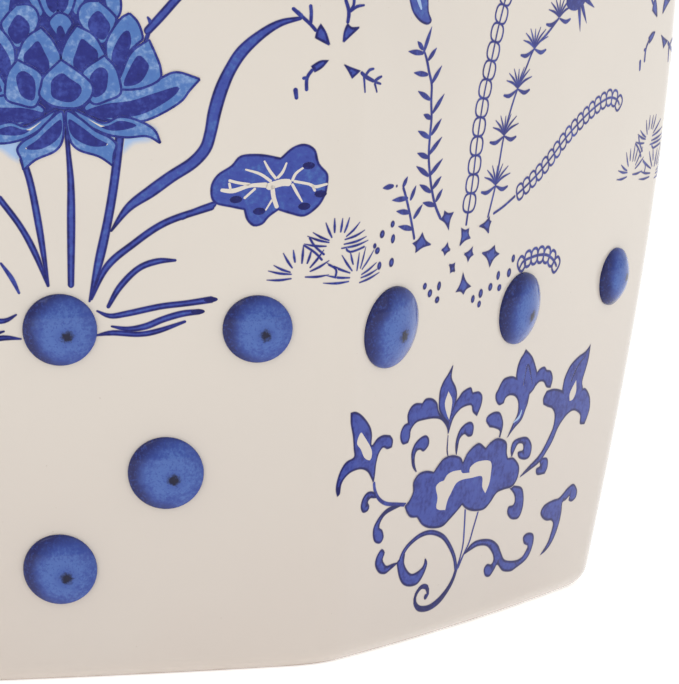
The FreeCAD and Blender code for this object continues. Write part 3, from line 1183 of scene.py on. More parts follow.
class Brush:
    """Paints flat shapes for one part of the stool and makes them one closed thin mesh."""

    below = 0.25
    first_lift = 0.035
    swell = 0.04
    swell_reach = 1.2
    second_lift = 0.1
    lift_step = 0.014
    rim_gaps = (0.38, 0.95)
    grid_gap = 1.4
    blade_shape = ((0.0, 0.1), (0.25, 0.66), (0.5, 1.0), (0.75, 0.92), (1.05, 0.5))

    def __init__(self, anchor: float, grid: float = 2.6) -> None:
        """Starts an empty painting.

        Args:
            anchor: where on the wall it is hung, in half sides from the middle of the front.
            grid: spacing of the points inside filled shapes.
        """
        self.anchor = anchor
        self.grid = grid
        self.layout = Layout()
        self.layer = 0
        self.points: list[Place] = []
        self.marks: list[Place] = []
        self.faces: list[tuple[int, ...]] = []

    def _placed(self, points: Sequence[Sequence[float]]) -> np.ndarray:
        """Points of a motif at their place."""
        return np.array([self.layout.place(point[0], point[1]) for point in points], dtype=float)

    def _add(self, flat: np.ndarray, depth: np.ndarray, faces: Sequence[Sequence[int]], tone: Tone,
             edge: Edge) -> None:
        """Adds one shape with its underside and its rim.

        Args:
            flat: its points.
            depth: how far each point is from the shape's edge.
            faces: its faces.
            tone: strength of the cobalt.
            edge: how its edge bleeds.
        """
        lift = self.first_lift
        if self.layer:
            lift = self.second_lift + self.lift_step * (self.layer - 1)
        swell = 0.0 if self.layer or edge is not SOFT else self.swell
        start = len(self.points)
        count = len(flat)
        for upper in (True, False):
            for (x, z), far in zip(flat, depth):
                level = lift + swell * min(far, self.swell_reach) if upper else -self.below
                self.points.append((x * MM, -level * MM, z * MM))
                self.marks.append((float(far), tone.value, edge.value))
        rims: dict[tuple[int, int], int] = {}
        for face in faces:
            self.faces.append(tuple(start + corner for corner in face))
            self.faces.append(tuple(start + count + corner for corner in reversed(face)))
            for first, second in zip(face, list(face[1:]) + [face[0]]):
                rims[(first, second)] = 1
        for first, second in rims:
            if (second, first) not in rims:
                self.faces.append((start + second, start + first, start + count + first,
                                   start + count + second))

    def stroke(self, points: Points, width: float = 1.0, tone: Tone = DEEP,
               edge: Edge = SOFT, closed: bool = False, step: float = 1.1) -> None:
        """Paints a stroke.

        Args:
            points: places along it; a third number is the width there, as a share of width.
            width: its width.
            tone: strength of the cobalt.
            edge: how its edge bleeds.
            closed: whether it returns to its start.
            step: largest distance between its points.
        """
        wide = np.array([(point[2] if len(point) > 2 else 1.0) * width for point in points])
        spread = edge.value
        line = curve_through(np.column_stack([self._placed(points), wide * self.layout.scale + spread]),
                             step, closed)
        if not closed:
            line = self._with_round_ends(line)
        ahead = np.roll(line, -1, axis=0) - line
        behind = line - np.roll(line, 1, axis=0)
        if not closed:
            ahead[-1] = behind[-1]
            behind[0] = ahead[0]
        side = sideways((ahead + behind)[:, :2])
        half = line[:, 2] / 2.0
        if not closed:
            half = self._rounded(line, half)
        left = line[:, :2] + side * half[:, None]
        right = line[:, :2] - side * half[:, None]
        count = len(line)
        flat = np.vstack([left, line[:, :2], right])
        depth = np.concatenate([np.zeros(count), half, np.zeros(count)])
        faces = []
        for number in range(count if closed else count - 1):
            after = (number + 1) % count
            faces.append((count + number, count + after, after, number))
            faces.append((2 * count + number, 2 * count + after, count + after, count + number))
        self._add(flat, depth, faces, tone, edge)

    @staticmethod
    def _with_round_ends(line: np.ndarray) -> np.ndarray:
        """Adds points near both ends of a stroke, where its end is rounded."""
        run = run_along(line)
        total = run[-1]
        first, last = line[0, 2] / 2.0, line[-1, 2] / 2.0
        wanted = list(run) + [first * part for part in (0.1, 0.4, 0.8)]
        wanted += [total - last * part for part in (0.1, 0.4, 0.8)]
        wanted = sorted(value for value in wanted if 0.0 <= value <= total)
        kept = [wanted[0]]
        for value in wanted[1:]:
            if value - kept[-1] > 0.03:
                kept.append(value)
        return np.column_stack([np.interp(kept, run, line[:, column]) for column in range(3)])

    @staticmethod
    def _rounded(line: np.ndarray, half: np.ndarray) -> np.ndarray:
        """Half widths of a stroke with both ends rounded."""
        run = run_along(line)
        result = half.copy()
        for gap, radius in ((run, half[0]), (run[-1] - run, half[-1])):
            share = np.clip(1.0 - gap / max(radius, 0.05), 0.0, 1.0)
            result = np.minimum(result, half * np.sqrt(1.0 - share ** 2) + 0.02)
        return result

    def fill(self, points: Points, tone: Tone = LEAF, edge: Edge = SOFT,
             step: float = 0.9) -> None:
        """Paints a filled shape.

        Args:
            points: its outline; a third number marks a sharp corner.
            tone: strength of the cobalt.
            edge: how its edge bleeds.
            step: largest distance between the outline's points.
        """
        placed = [tuple(self.layout.place(point[0], point[1])) + tuple(point[2:]) for point in points]
        outline = outline_through(placed, step)
        after = np.roll(outline, -1, axis=0)
        area = float((outline[:, 0] * after[:, 1] - after[:, 0] * outline[:, 1]).sum())
        if area < 0:
            outline = outline[::-1]
        inward = sideways(np.roll(outline, -1, axis=0) - np.roll(outline, 1, axis=0))
        outline = outline - inward * edge.value * 0.5
        extra = []
        for gap in self.rim_gaps:
            near = outline + inward * gap
            far = distances(near, outline)
            keep_each = 1 if gap == self.rim_gaps[0] else 2
            extra.append(near[(far > gap * 0.9) & inside(near, outline)][::keep_each])
        low, high = outline.min(0), outline.max(0)
        columns = np.arange(low[0], high[0], self.grid)
        rows = np.arange(low[1], high[1], self.grid)
        mesh = np.array([(x, z) for x in columns for z in rows]).reshape(-1, 2)
        mesh = mesh[inside(mesh, outline)]
        extra.append(mesh[distances(mesh, outline) > self.grid_gap])
        every = [Vector(point) for point in np.vstack([outline] + extra).tolist()]
        loop = list(range(len(outline)))
        found, _, faces, _, _, _ = delaunay_2d_cdt(every, [], [loop], 1, 1e-4)
        flat = np.array([tuple(point) for point in found])
        depth = distances(flat, outline)
        self._add(flat, depth, [tuple(face) for face in faces], tone, edge)

    def on_layer(self, layer: int) -> "Brush":
        """Chooses how far up the next shapes lie; returns the brush."""
        self.layer = layer
        return self

    def blade(self, tip: Point, base: Point, width: float = 1.6, tone: Tone = DEEP,
              edge: Edge = SOFT) -> None:
        """Paints a pointed leaf.

        Args:
            tip: its tip.
            base: where it leaves the stem.
            width: its greatest width.
            tone: strength of the cobalt.
            edge: how its edge bleeds.
        """
        points = []
        for share, wide in self.blade_shape:
            points.append((tip[0] + (base[0] - tip[0]) * share, tip[1] + (base[1] - tip[1]) * share, wide))
        self.stroke(points, width, tone, edge, step=0.7)

    def dot(self, along: float, level: float, wide: float = 1.3, tall: float = 1.7,
            tone: Tone = LEAF, edge: Edge = SOFT) -> None:
        """Paints an oval dot."""
        ring = [(along + wide / 2.0 * cos(angle), level + tall / 2.0 * sin(angle))
                for angle in np.linspace(0.0, 2.0 * pi, 9)[:-1]]
        self.fill(ring, tone, edge, step=0.5)

    def star(self, tips: Points, waist: float = 0.5, tone: Tone = LEAF) -> None:
        """Paints a star with hollow sides.

        Args:
            tips: its tips in order.
            waist: how far the sides stay out between the tips, as a share.
            tone: strength of the cobalt.
        """
        middle = np.mean(np.array(tips), axis=0)
        outline: list[Point] = []
        for first, second in zip(tips, list(tips[1:]) + [tips[0]]):
            outline.append((first[0], first[1], 1.0))
            between = (np.array(first) + np.array(second)) / 2.0
            hollow = middle + (between - middle) * waist
            outline.append((float(hollow[0]), float(hollow[1])))
        self.fill(outline, tone, step=0.7)

    def cells(self, points: Points, half_width: float, pitch: float, wire: float = 0.72) -> None:
        """Paints a chain of rings with a line along its middle.

        Args:
            points: places along the line.
            half_width: half the chain's width.
            pitch: distance between the rings.
            wire: width of the lines.
        """
        line = curve_through(np.array(points, dtype=float), 0.4, False)
        run = run_along(line)
        count = max(1, round(run[-1] / pitch))
        length = run[-1] / count

        def spot(along: float) -> np.ndarray:
            """The place at a distance along the chain."""
            return np.array([np.interp(along, run, line[:, 0]), np.interp(along, run, line[:, 1])])

        for number in range(count):
            middle = (number + 0.5) * length
            way = spot(middle + 0.5) - spot(middle - 0.5)
            way /= max(float(np.linalg.norm(way)), 1e-6)
            side = np.array([-way[1], way[0]])
            ring = []
            for angle in np.linspace(0.0, 2.0 * pi, 17)[:-1]:
                square = 1.0 + 0.09 * sin(2.0 * angle) ** 2
                out = cos(angle) * half_width * square
                long = sin(angle) * length * 0.5 * square
                place = spot(middle) + side * out + way * long
                ring.append((float(place[0]), float(place[1])))
            self.stroke(ring, wire, DEEP, SOFT, closed=True, step=0.8)
        self.stroke([tuple(place) for place in line[::3].tolist()], wire, DEEP, SOFT)

    def finish(self, name: str, barrel: Barrel, paint: Material,
               seat: Optional[Object] = None) -> Object:
        """Makes the painting a piece on the stool.

        Args:
            name: name of the piece.
            barrel: the barrel, whose trees lay it on.
            paint: the paint's material.
            seat: the skin, for a painting that lies on the seat.

        Returns:
            The piece.
        """
        mesh = bpy.data.meshes.new(name + "_flat")
        mesh.from_pydata(self.points, [], self.faces)
        marks = np.array(self.marks)
        for column, label in enumerate(("depth", "tone", "bleed")):
            store(mesh, label, marks[:, column])
        hang(mesh, self.anchor)
        flat = add_object(name + "_flat", mesh)
        if seat is None:
            piece = barrel.shaped(flat, barrel.wall_tree(), name, Finish=paint)
        else:
            piece = barrel.shaped(flat, barrel.seat_tree(), name, Seat=seat, Finish=paint)
        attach(piece, "root")
        return piece


class Motif:
    """Something that is painted part by part at one place."""

    def parts(self) -> list[Callable[[Brush], None]]:
        """Its parts, in the order in which they are painted."""
        return []

    def paint(self, brush: Brush, layout: Layout) -> None:
        """Paints every part, at the place that the layout gives."""
        brush.layout = layout
        for part in self.parts():
            part(brush)


@dataclass(frozen=True)
class LotusPond(Motif):
    """A lotus in flower over its stems, grasses and ripples, for the lotus sides."""

    axis: float = 10.0
    stud_at: float = 4.5
    outline_width: float = 0.62

    def petal(self, brush: Brush, layer: int, rim: Points, heart: Points) -> None:
        """One petal on both sides of the flower: a light wash, a dark heart and an outline.

        Args:
            brush: the brush.
            layer: how far up the petal lies.
            rim: its outline on the right-hand side.
            heart: outline of its dark heart.
        """
        for mirrored in (False, True):
            def across(points: Points) -> list[Point]:
                """The points, on the side that is being painted."""
                if not mirrored:
                    return list(points)
                return [(2.0 * self.axis - point[0], point[1]) + tuple(point[2:]) for point in points]
            brush.on_layer(layer).fill(across(rim), WASH, CRISP)
            if heart:
                brush.on_layer(layer + 1).fill(across(heart), DEEP, CRISP)
            self.contour(brush.on_layer(layer + 2), across(rim))

    def contour(self, brush: Brush, rim: Points) -> None:
        """Draws the dark outline of a petal, run by run between its sharp corners.

        Args:
            brush: the brush.
            rim: the petal's outline.
        """
        corners = [number for number, point in enumerate(rim) if len(point) > 2]
        plain = [point[:2] for point in rim]
        if not corners:
            brush.stroke(plain, self.outline_width, DEEP, CRISP, closed=True, step=0.8)
            return
        plain = plain[corners[0]:] + plain[:corners[0]]
        marks = [corner - corners[0] for corner in corners] + [len(plain)]
        plain.append(plain[0])
        for start, end in zip(marks, marks[1:]):
            brush.stroke(plain[start:end + 1], self.outline_width, DEEP, CRISP, step=0.8)

    def flower(self, brush: Brush) -> None:
        """Paints the flower, the back petals first."""
        brush.on_layer(0)
        for hand in (1.0, -1.0):
            pale = [(26, 147.5), (32, 146), (33, 144), (31, 142.4), (27, 142), (24, 139.6), (21, 138.5),
                    (16, 140), (12, 142), (14, 146)]
            brush.fill([(self.axis + hand * (x - self.axis), z) for x, z in pale], MIST, BLEEDING)
        brush.fill(
            [(-8, 151), (-8, 160), (-9, 168), (-6, 173), (-2, 178), (2, 181), (10, 184), (18, 181),
            (22, 178), (26, 173), (29, 168), (28, 160), (28, 148), (22, 146.2), (16, 146.4), (10, 144.5),
            (4, 146.4), (-2, 146.2), (-8, 148)], DEEP, CRISP)
        self.petal(
            brush, 1, [(14, 176), (16, 183), (19, 187, 1), (23, 184), (26, 179), (24, 174)], [(16, 176),
            (18, 182), (20, 183), (22, 180), (22, 175)])
        self.petal(
            brush, 4, [(10, 176), (10, 191, 1), (14, 187), (15, 182), (13, 176)], [(10.5, 177), (10.5, 186),
            (13, 183), (12.5, 178)])
        self.petal(
            brush, 7, [(15, 174.5), (15.5, 177.5), (17.5, 179), (20.5, 179, 1), (23.5, 176), (24.5, 173.5),
            (21, 168), (17, 171)], [(17.5, 174), (20, 176.5), (22, 174.5), (23, 172), (21, 169), (18, 171)])
        self.petal(
            brush, 10, [(21.5, 167), (22.5, 170), (25.5, 174), (28, 175.5, 1), (30, 173), (31, 169),
            (29.5, 167.5), (27, 165), (26, 160), (24, 158), (22, 162)], [(23, 165.5), (25.5, 170),
            (27.5, 171), (28, 168), (26.5, 164), (25, 159.5), (23, 162)])
        lap = (
            (7.5, 174), (9, 176), (10.5, 176.5), (12.5, 175.5), (13.5, 173.5), (12.5, 172), (10.5, 169),
            (9, 171))
        brush.on_layer(10).fill(lap, WASH, CRISP)
        brush.on_layer(11).fill(
            [(9.5, 172.5), (10.5, 173.2), (11.2, 172), (11.5, 170), (10.2, 165.5), (9.2, 169)], DEEP,
            CRISP)
        self.contour(brush.on_layer(12), lap)
        self.petal(
            brush, 13, [(10, 164.5), (11.5, 169), (14.5, 173, 1), (18.5, 170.5), (20.5, 167), (21, 164),
            (17, 158), (12, 160)], [(15.5, 169.5), (17.5, 168), (19.5, 165.5), (18, 161), (14, 160),
            (13, 163.5), (14, 166.5)])
        self.petal(
            brush, 13, [(15, 151.5), (20, 155), (25, 156.2), (30, 156), (34.5, 158.2), (39, 159.7),
            (44.8, 157.6, 1), (42, 154.8), (39.5, 152), (34, 149), (29, 147.5), (22, 148)], [(15, 150.5),
            (20, 152.4), (27, 153), (33, 154.6), (38.9, 156), (39, 154.6), (35.5, 152), (29, 149.2),
            (21, 148.8)])
        self.petal(
            brush, 16, [(24, 156.5), (25.5, 161), (28, 165.5), (32.5, 168.5, 1), (34, 164.5), (35, 161),
            (34.5, 158), (29.5, 156)], [(25.5, 157), (27, 161), (29.5, 164.5), (31.5, 163), (32, 161),
            (29.5, 157.5)])
        self.petal(
            brush, 16, [(12, 151.5), (16, 149.5), (20, 147.6), (24, 149), (28.5, 147.8), (32.4, 145.2),
            (33.8, 141.6, 1), (30.5, 143.6), (25, 143.6), (20, 144.8), (15.5, 147.5)], [(16, 148.8),
            (20, 146.8), (24, 148), (28, 146.6), (25, 145.6), (20.5, 145.8)])
        self.petal(
            brush, 19, [(15, 160.5), (21, 165, 1), (23.5, 162), (24.5, 158.5), (24.5, 155), (21.5, 153.5),
            (17, 153)], [(17, 159.5), (19.5, 162), (21.5, 161), (21.5, 158.5), (20.5, 155.5),
            (17.5, 154.5)])
        self.petal(
            brush, 19, [(10.5, 151), (14, 149), (17.5, 145.8), (21, 143.8), (22.6, 141.8), (21.8, 139.4),
            (21.4, 136.4, 1), (18, 139), (13, 141), (10.8, 144.2)], [(11, 149), (14, 147), (17.5, 144),
            (20.5, 142), (17, 141.6), (13.5, 143), (11.2, 145.4)])
        front = (
            (4.5, 158), (5.5, 160.5), (10, 164.5, 1), (15, 160.5), (17.5, 157.5), (17, 154.5), (14, 152),
            (10, 152), (6.5, 153), (4, 155.5))
        brush.on_layer(22).fill(front, WASH, CRISP)
        brush.on_layer(23).fill(
            [(7, 157.5), (7.5, 159.5), (10, 161), (12, 159.5), (14.5, 157.5), (14.5, 155.5), (12.5, 153.6),
            (10, 153.6), (7.2, 155)], DEEP, CRISP)
        self.contour(brush.on_layer(24), front)

    def stems(self, brush: Brush) -> None:
        """Paints the stems, the long arched leaf and the grasses."""
        brush.on_layer(0)
        stem = LEAF
        brush.stroke(
            [(10.2, 150), (10.3, 141, 0.8), (10.4, 132.6, 1.1), (9.8, 122, 1.3), (8.6, 105)], 1.7, stem)
        brush.stroke([(-1.6, 140), (0.2, 132.6), (1.7, 120), (2.9, 105.5, 0.4)], 1.9, stem)
        brush.stroke([(-8.5, 130), (-3.2, 121.8), (0.3, 114), (2.8, 105.5, 0.3)], 1.7, stem)
        brush.stroke([(-9, 112.6, 0.5), (-6.3, 108.2), (-4.6, 104, 0.5)], 1.3, DEEP)
        brush.stroke([(23.8, 145), (21.4, 132), (19.1, 122), (16.3, 112), (13, 101, 0.25)], 2.4, stem)
        brush.stroke(
            [(19.6, 119.2, 0.2), (24.6, 125.3, 0.7), (30.5, 129.2), (36, 132.8), (41.5, 136), (45, 139.5),
            (46.6, 143.6), (48, 149, 1.1), (50, 154.6, 1.1), (52.6, 159.6), (56, 164.2), (61, 168.2, 0.8),
            (66, 170.8, 0.6), (71.6, 171.8, 0.3)], 3.2, stem)
        brush.stroke([(13.4, 101.5, 0.4), (18, 110), (25, 115.6), (34, 121), (46.5, 124.6)], 1.9, stem)
        brush.stroke(
            [(17.5, 99.2, 0.6), (21, 104.6), (26, 109.2), (31, 110.9), (36, 110.9, 0.4)], 1.7, stem)
        brush.stroke([(31.6, 170, 0.9), (35.5, 173.8), (40, 178.4), (47, 185.5), (55, 195)], 2.4, stem)
        brush.stroke([(32.4, 174.4, 0.4), (33.2, 172.8), (33, 171, 0.8)], 1.2, DEEP)
        brush.stroke([(30.8, 166), (32.6, 170.4)], 1.2, DEEP)

    def ripples(self, brush: Brush) -> None:
        """Paints the ripples beside the middle stud."""
        brush.on_layer(0)
        for mirrored in (1.0, -1.0):
            def line(points: Points, width: float) -> None:
                """One ripple, on the side that is being painted."""
                stud = self.stud_at
                turned = [(stud + mirrored * (point[0] - stud),) + tuple(point[1:]) for point in points]
                brush.stroke(turned, width, LEAF)
            line(
                [(14.6, 98.8, 0.3), (18, 97.2, 0.8), (22.5, 97.6), (31, 99), (38, 99.5), (45, 100.2, 1.1)],
                1.7)
            line(
                [(18, 94.5, 0.3), (22.5, 93.5, 0.8), (27, 94), (31.5, 95.6), (36.5, 96.8),
                (41.5, 97.1, 0.8)], 1.8)
            line([(13.8, 92.2, 0.3), (18.5, 92.7), (25, 92), (30, 92.6), (37.4, 94.8, 0.5)], 1.5)
            for end_u, end_z in ((44, 100.1), (40.5, 97.1)):
                brush.on_layer(1).dot(
                    self.stud_at + mirrored * (end_u - self.stud_at), end_z, 3.6, 1.4, LINE, CRISP)
            brush.on_layer(0)
            line([(-9.5, 92.6), (-7.5, 92.6)], 1.2)

    def parts(self) -> list[Callable[[Brush], None]]:
        """Its parts in order."""
        return [self.stems, self.ripples, self.flower]


@dataclass(frozen=True)
class CornerGarden:
    """What grows round a corner: a lotus leaf, moss and four cone buds on twigs."""

    vein: float = 0.8

    def leaf(self, brush: Brush) -> None:
        """Paints the lotus leaf with its veins left bare."""
        brush.on_layer(0)
        brush.fill(
            [(-34.3, 125.4), (-35.2, 129.4), (-33.6, 132.6), (-30, 134.9), (-27.6, 137.3), (-22.5, 137.4),
            (-17.4, 136.2, 1), (-14.5, 138.6), (-11.4, 139.4), (-8.6, 137.8), (-7.4, 134), (-5.2, 131.2),
            (-5.2, 128), (-5.8, 125.4), (-7.6, 122.6), (-11, 120.4), (-14.5, 121.2), (-17.7, 122.4, 1),
            (-20, 120.8), (-21.6, 119), (-24, 118.6), (-25.8, 120.4), (-26.6, 123, 1), (-29.6, 123.8)],
            LEAF)
        brush.on_layer(1)
        for wide, line in (
                (2.3, [(-21, 128.6), (-17, 129.6), (-14.5, 129.4)]), (1.5, [(-32.6, 128.6, 0.7),
                (-29.4, 128.2), (-25, 129.3, 0.8), (-20.5, 129.2, 1.2)]), (0.9, [(-30.6, 131), (-28, 130.2),
                (-25, 129.6)]), (0.8, [(-30.4, 130.4), (-30, 128.4)]), (0.9, [(-26.4, 133.6, 0.6),
                (-22.6, 132.2), (-19.6, 130)]), (0.9, [(-21.6, 135.6, 0.6), (-20.2, 133), (-18.4, 130.6)]),
                (0.9, [(-15.8, 134.8, 0.6), (-16.8, 132.4), (-18.2, 130.8)]), (0.9, [(-14.4, 129.8),
                (-13.4, 131.8), (-11.2, 133.4, 0.6)]), (0.9, [(-14, 129.8), (-10, 128.8), (-8.4, 128, 1.2),
                (-5.2, 128.6, 0.8)]), (0.8, [(-9.2, 128.4), (-8.4, 126.8)]), (0.9, [(-14.4, 129.2),
                (-13, 126.6), (-11.6, 124.2, 0.5)]), (1.4, [(-19.4, 129), (-19, 126), (-18, 123, 0.9)]),
                (0.7, [(-19.3, 125.4), (-21, 122.6, 0.7)]), (0.8, [(-23.6, 128.6), (-26.6, 126)])):
            brush.stroke(line, wide * self.vein, RESERVE, CRISP, step=0.7)
        brush.on_layer(2)
        for along, level in ((-28.6, 125.9), (-22.6, 122.5), (-10.2, 133.6), (-11.1, 123.1), (-7, 126.1)):
            brush.dot(along, level, 3.2, 1.9, LINE, CRISP)
        brush.on_layer(0).stroke([(-43, 121.8), (-38.5, 123.6), (-33.5, 125.2)], 1.7, LEAF)

    def moss(self, brush: Brush) -> None:
        """Paints three fans of moss, whose needles leave the middles bare."""
        brush.on_layer(0)
        fans = (
            ((-20.3, 104.4, -13.7, 104.4), (-20, 106.8, -13.7, 105.5), (-18.6, 108.2, -14, 106),
            (-16.2, 111.3, -13.6, 107), (-13.6, 112, -13, 108.4), (-11, 113.2, -11.3, 108),
            (-8.8, 112, -10, 107.9), (-5.7, 111.5, -9.3, 106.8), (-4.2, 108.6, -9.3, 105.9),
            (-4.1, 104.8, -10.5, 104.6)), ((-11, 113.3, -5, 112.3), (-10.2, 115.3, -4.3, 113.2),
            (-8.8, 116.2, -4.3, 113.7), (-5.5, 118.6, -3.7, 114.3), (-3.2, 119.6, -3.1, 115.5),
            (-1, 119.4, -1.5, 115.5), (1, 119.4, -0.5, 115.3), (4.5, 117.8, 0, 114.3),
            (6.5, 115.4, -0.4, 113.6), (7.2, 113.6, -0.6, 112.4), (8, 112.5, -1.3, 111.4)),
            ((-5.8, 102.7, 1.5, 102.5), (-5.2, 104.7, 1.8, 103.4), (-5, 108, 1.8, 104.6),
            (-1, 109.7, 2.4, 105), (1.5, 110.3, 2.6, 106.6), (4.5, 109.8, 3.8, 104.8), (7, 111, 5, 105.3),
            (10.5, 109.8, 5.6, 105), (11.7, 106.2, 5.4, 103.7), (12.5, 104.5, 5.2, 102.9),
            (13, 103.4, 4.7, 101.7)))
        for fan in fans:
            for tip_u, tip_z, root_u, root_z in fan:
                bend = ((tip_u + root_u) / 2, (tip_z + root_z) / 2 - 0.25, 1.1)
                brush.stroke([(tip_u, tip_z, 0.35), bend, (root_u, root_z, 0.6)], 0.66, step=1.4)
        for line in ([(-11, 113), (-8, 110.8), (-6, 108.6)], [(-9.6, 115), (-8.2, 112.6), (-5.5, 110)],
                     [(-4.6, 107.6), (-2.4, 106), (-2.6, 103.6)], [(0.2, 111.4), (1.4, 110.2), (6.6, 111)]):
            brush.stroke(line, 0.66)
        brush.dot(10.6, 110.6, 1.5, 1.5)

    def buds(self, brush: Brush) -> None:
        """Paints four cone buds that point at each other, with their twigs."""
        brush.on_layer(0)
        for outline in (
                [(-5.2, 160.6, 1), (-7.6, 160.6), (-10, 159.3, 1), (-9, 157.5, 1), (-7, 158.6)],
                [(-4.8, 163.9, 1), (-5.9, 167.6), (-7.4, 170.2, 1), (-8.5, 168.4), (-9, 166.4, 1),
                (-6.7, 165)], [(-1.9, 164.3, 1), (-1.5, 167.5), (-0.4, 169.6), (0.8, 168.6),
                (3.8, 168.4, 1), (0.7, 166.3)], [(-1.8, 159.5, 1), (0.6, 158.3), (3.8, 157, 1), (2.2, 156),
                (0.9, 155.1, 1), (-0.4, 157.4)]):
            brush.fill(outline, LEAF, step=0.6)
        for line in (
                [(-9.3, 158.6), (-10.9, 156.3), (-11, 152.8)], [(-10.8, 156.4), (-12.2, 156.2)],
                [(-13.9, 154, 1.4), (-13.5, 150.8)], [(-8.4, 168), (-10, 170), (-12, 172), (-13.6, 173.8)],
                [(-12, 172, 1.3), (-14.7, 174.6)], [(-10, 175.2), (-9.8, 172.8), (-10, 170)],
                [(-0.4, 169.4), (0, 172.6, 1.2), (-1, 176)], [(0, 172.4), (1.4, 174), (1.6, 176.4)],
                [(0, 172.4), (2.4, 173.6), (5.2, 173.7, 0.6)], [(3.6, 156.7), (5.6, 155.2, 1.3),
                (9, 153.6)], [(8.8, 153.6), (10.6, 154.3), (12.2, 154.6, 0.6)], [(8.8, 153.6),
                (11.8, 152.6, 0.6)], [(9, 153.4), (10.1, 150.5, 0.6)], [(4.8, 155.6), (5.3, 151, 0.6)],
                [(5.2, 155.4), (7, 156.8), (9, 156.9, 0.6)]):
            brush.stroke(line, 0.95)

    def paint(self, brush: Brush, layout: Layout, with_leaf: bool, bud_shift: tuple[float, float],
              moss_shift: tuple[float, float]) -> None:
        """Paints one corner.

        Args:
            brush: the brush.
            layout: where it goes.
            with_leaf: whether the lotus leaf reaches this corner.
            bud_shift: how far the buds are moved from their usual place.
            moss_shift: how far the moss is moved.
        """
        brush.layout = layout
        if with_leaf:
            self.leaf(brush)
        turned = layout.turn_over
        brush.layout = Layout(layout.shift + moss_shift[0], moss_shift[1], turn_over=turned)
        self.moss(brush)
        brush.layout = Layout(layout.shift + bud_shift[0], bud_shift[1], turn_over=turned)
        self.buds(brush)


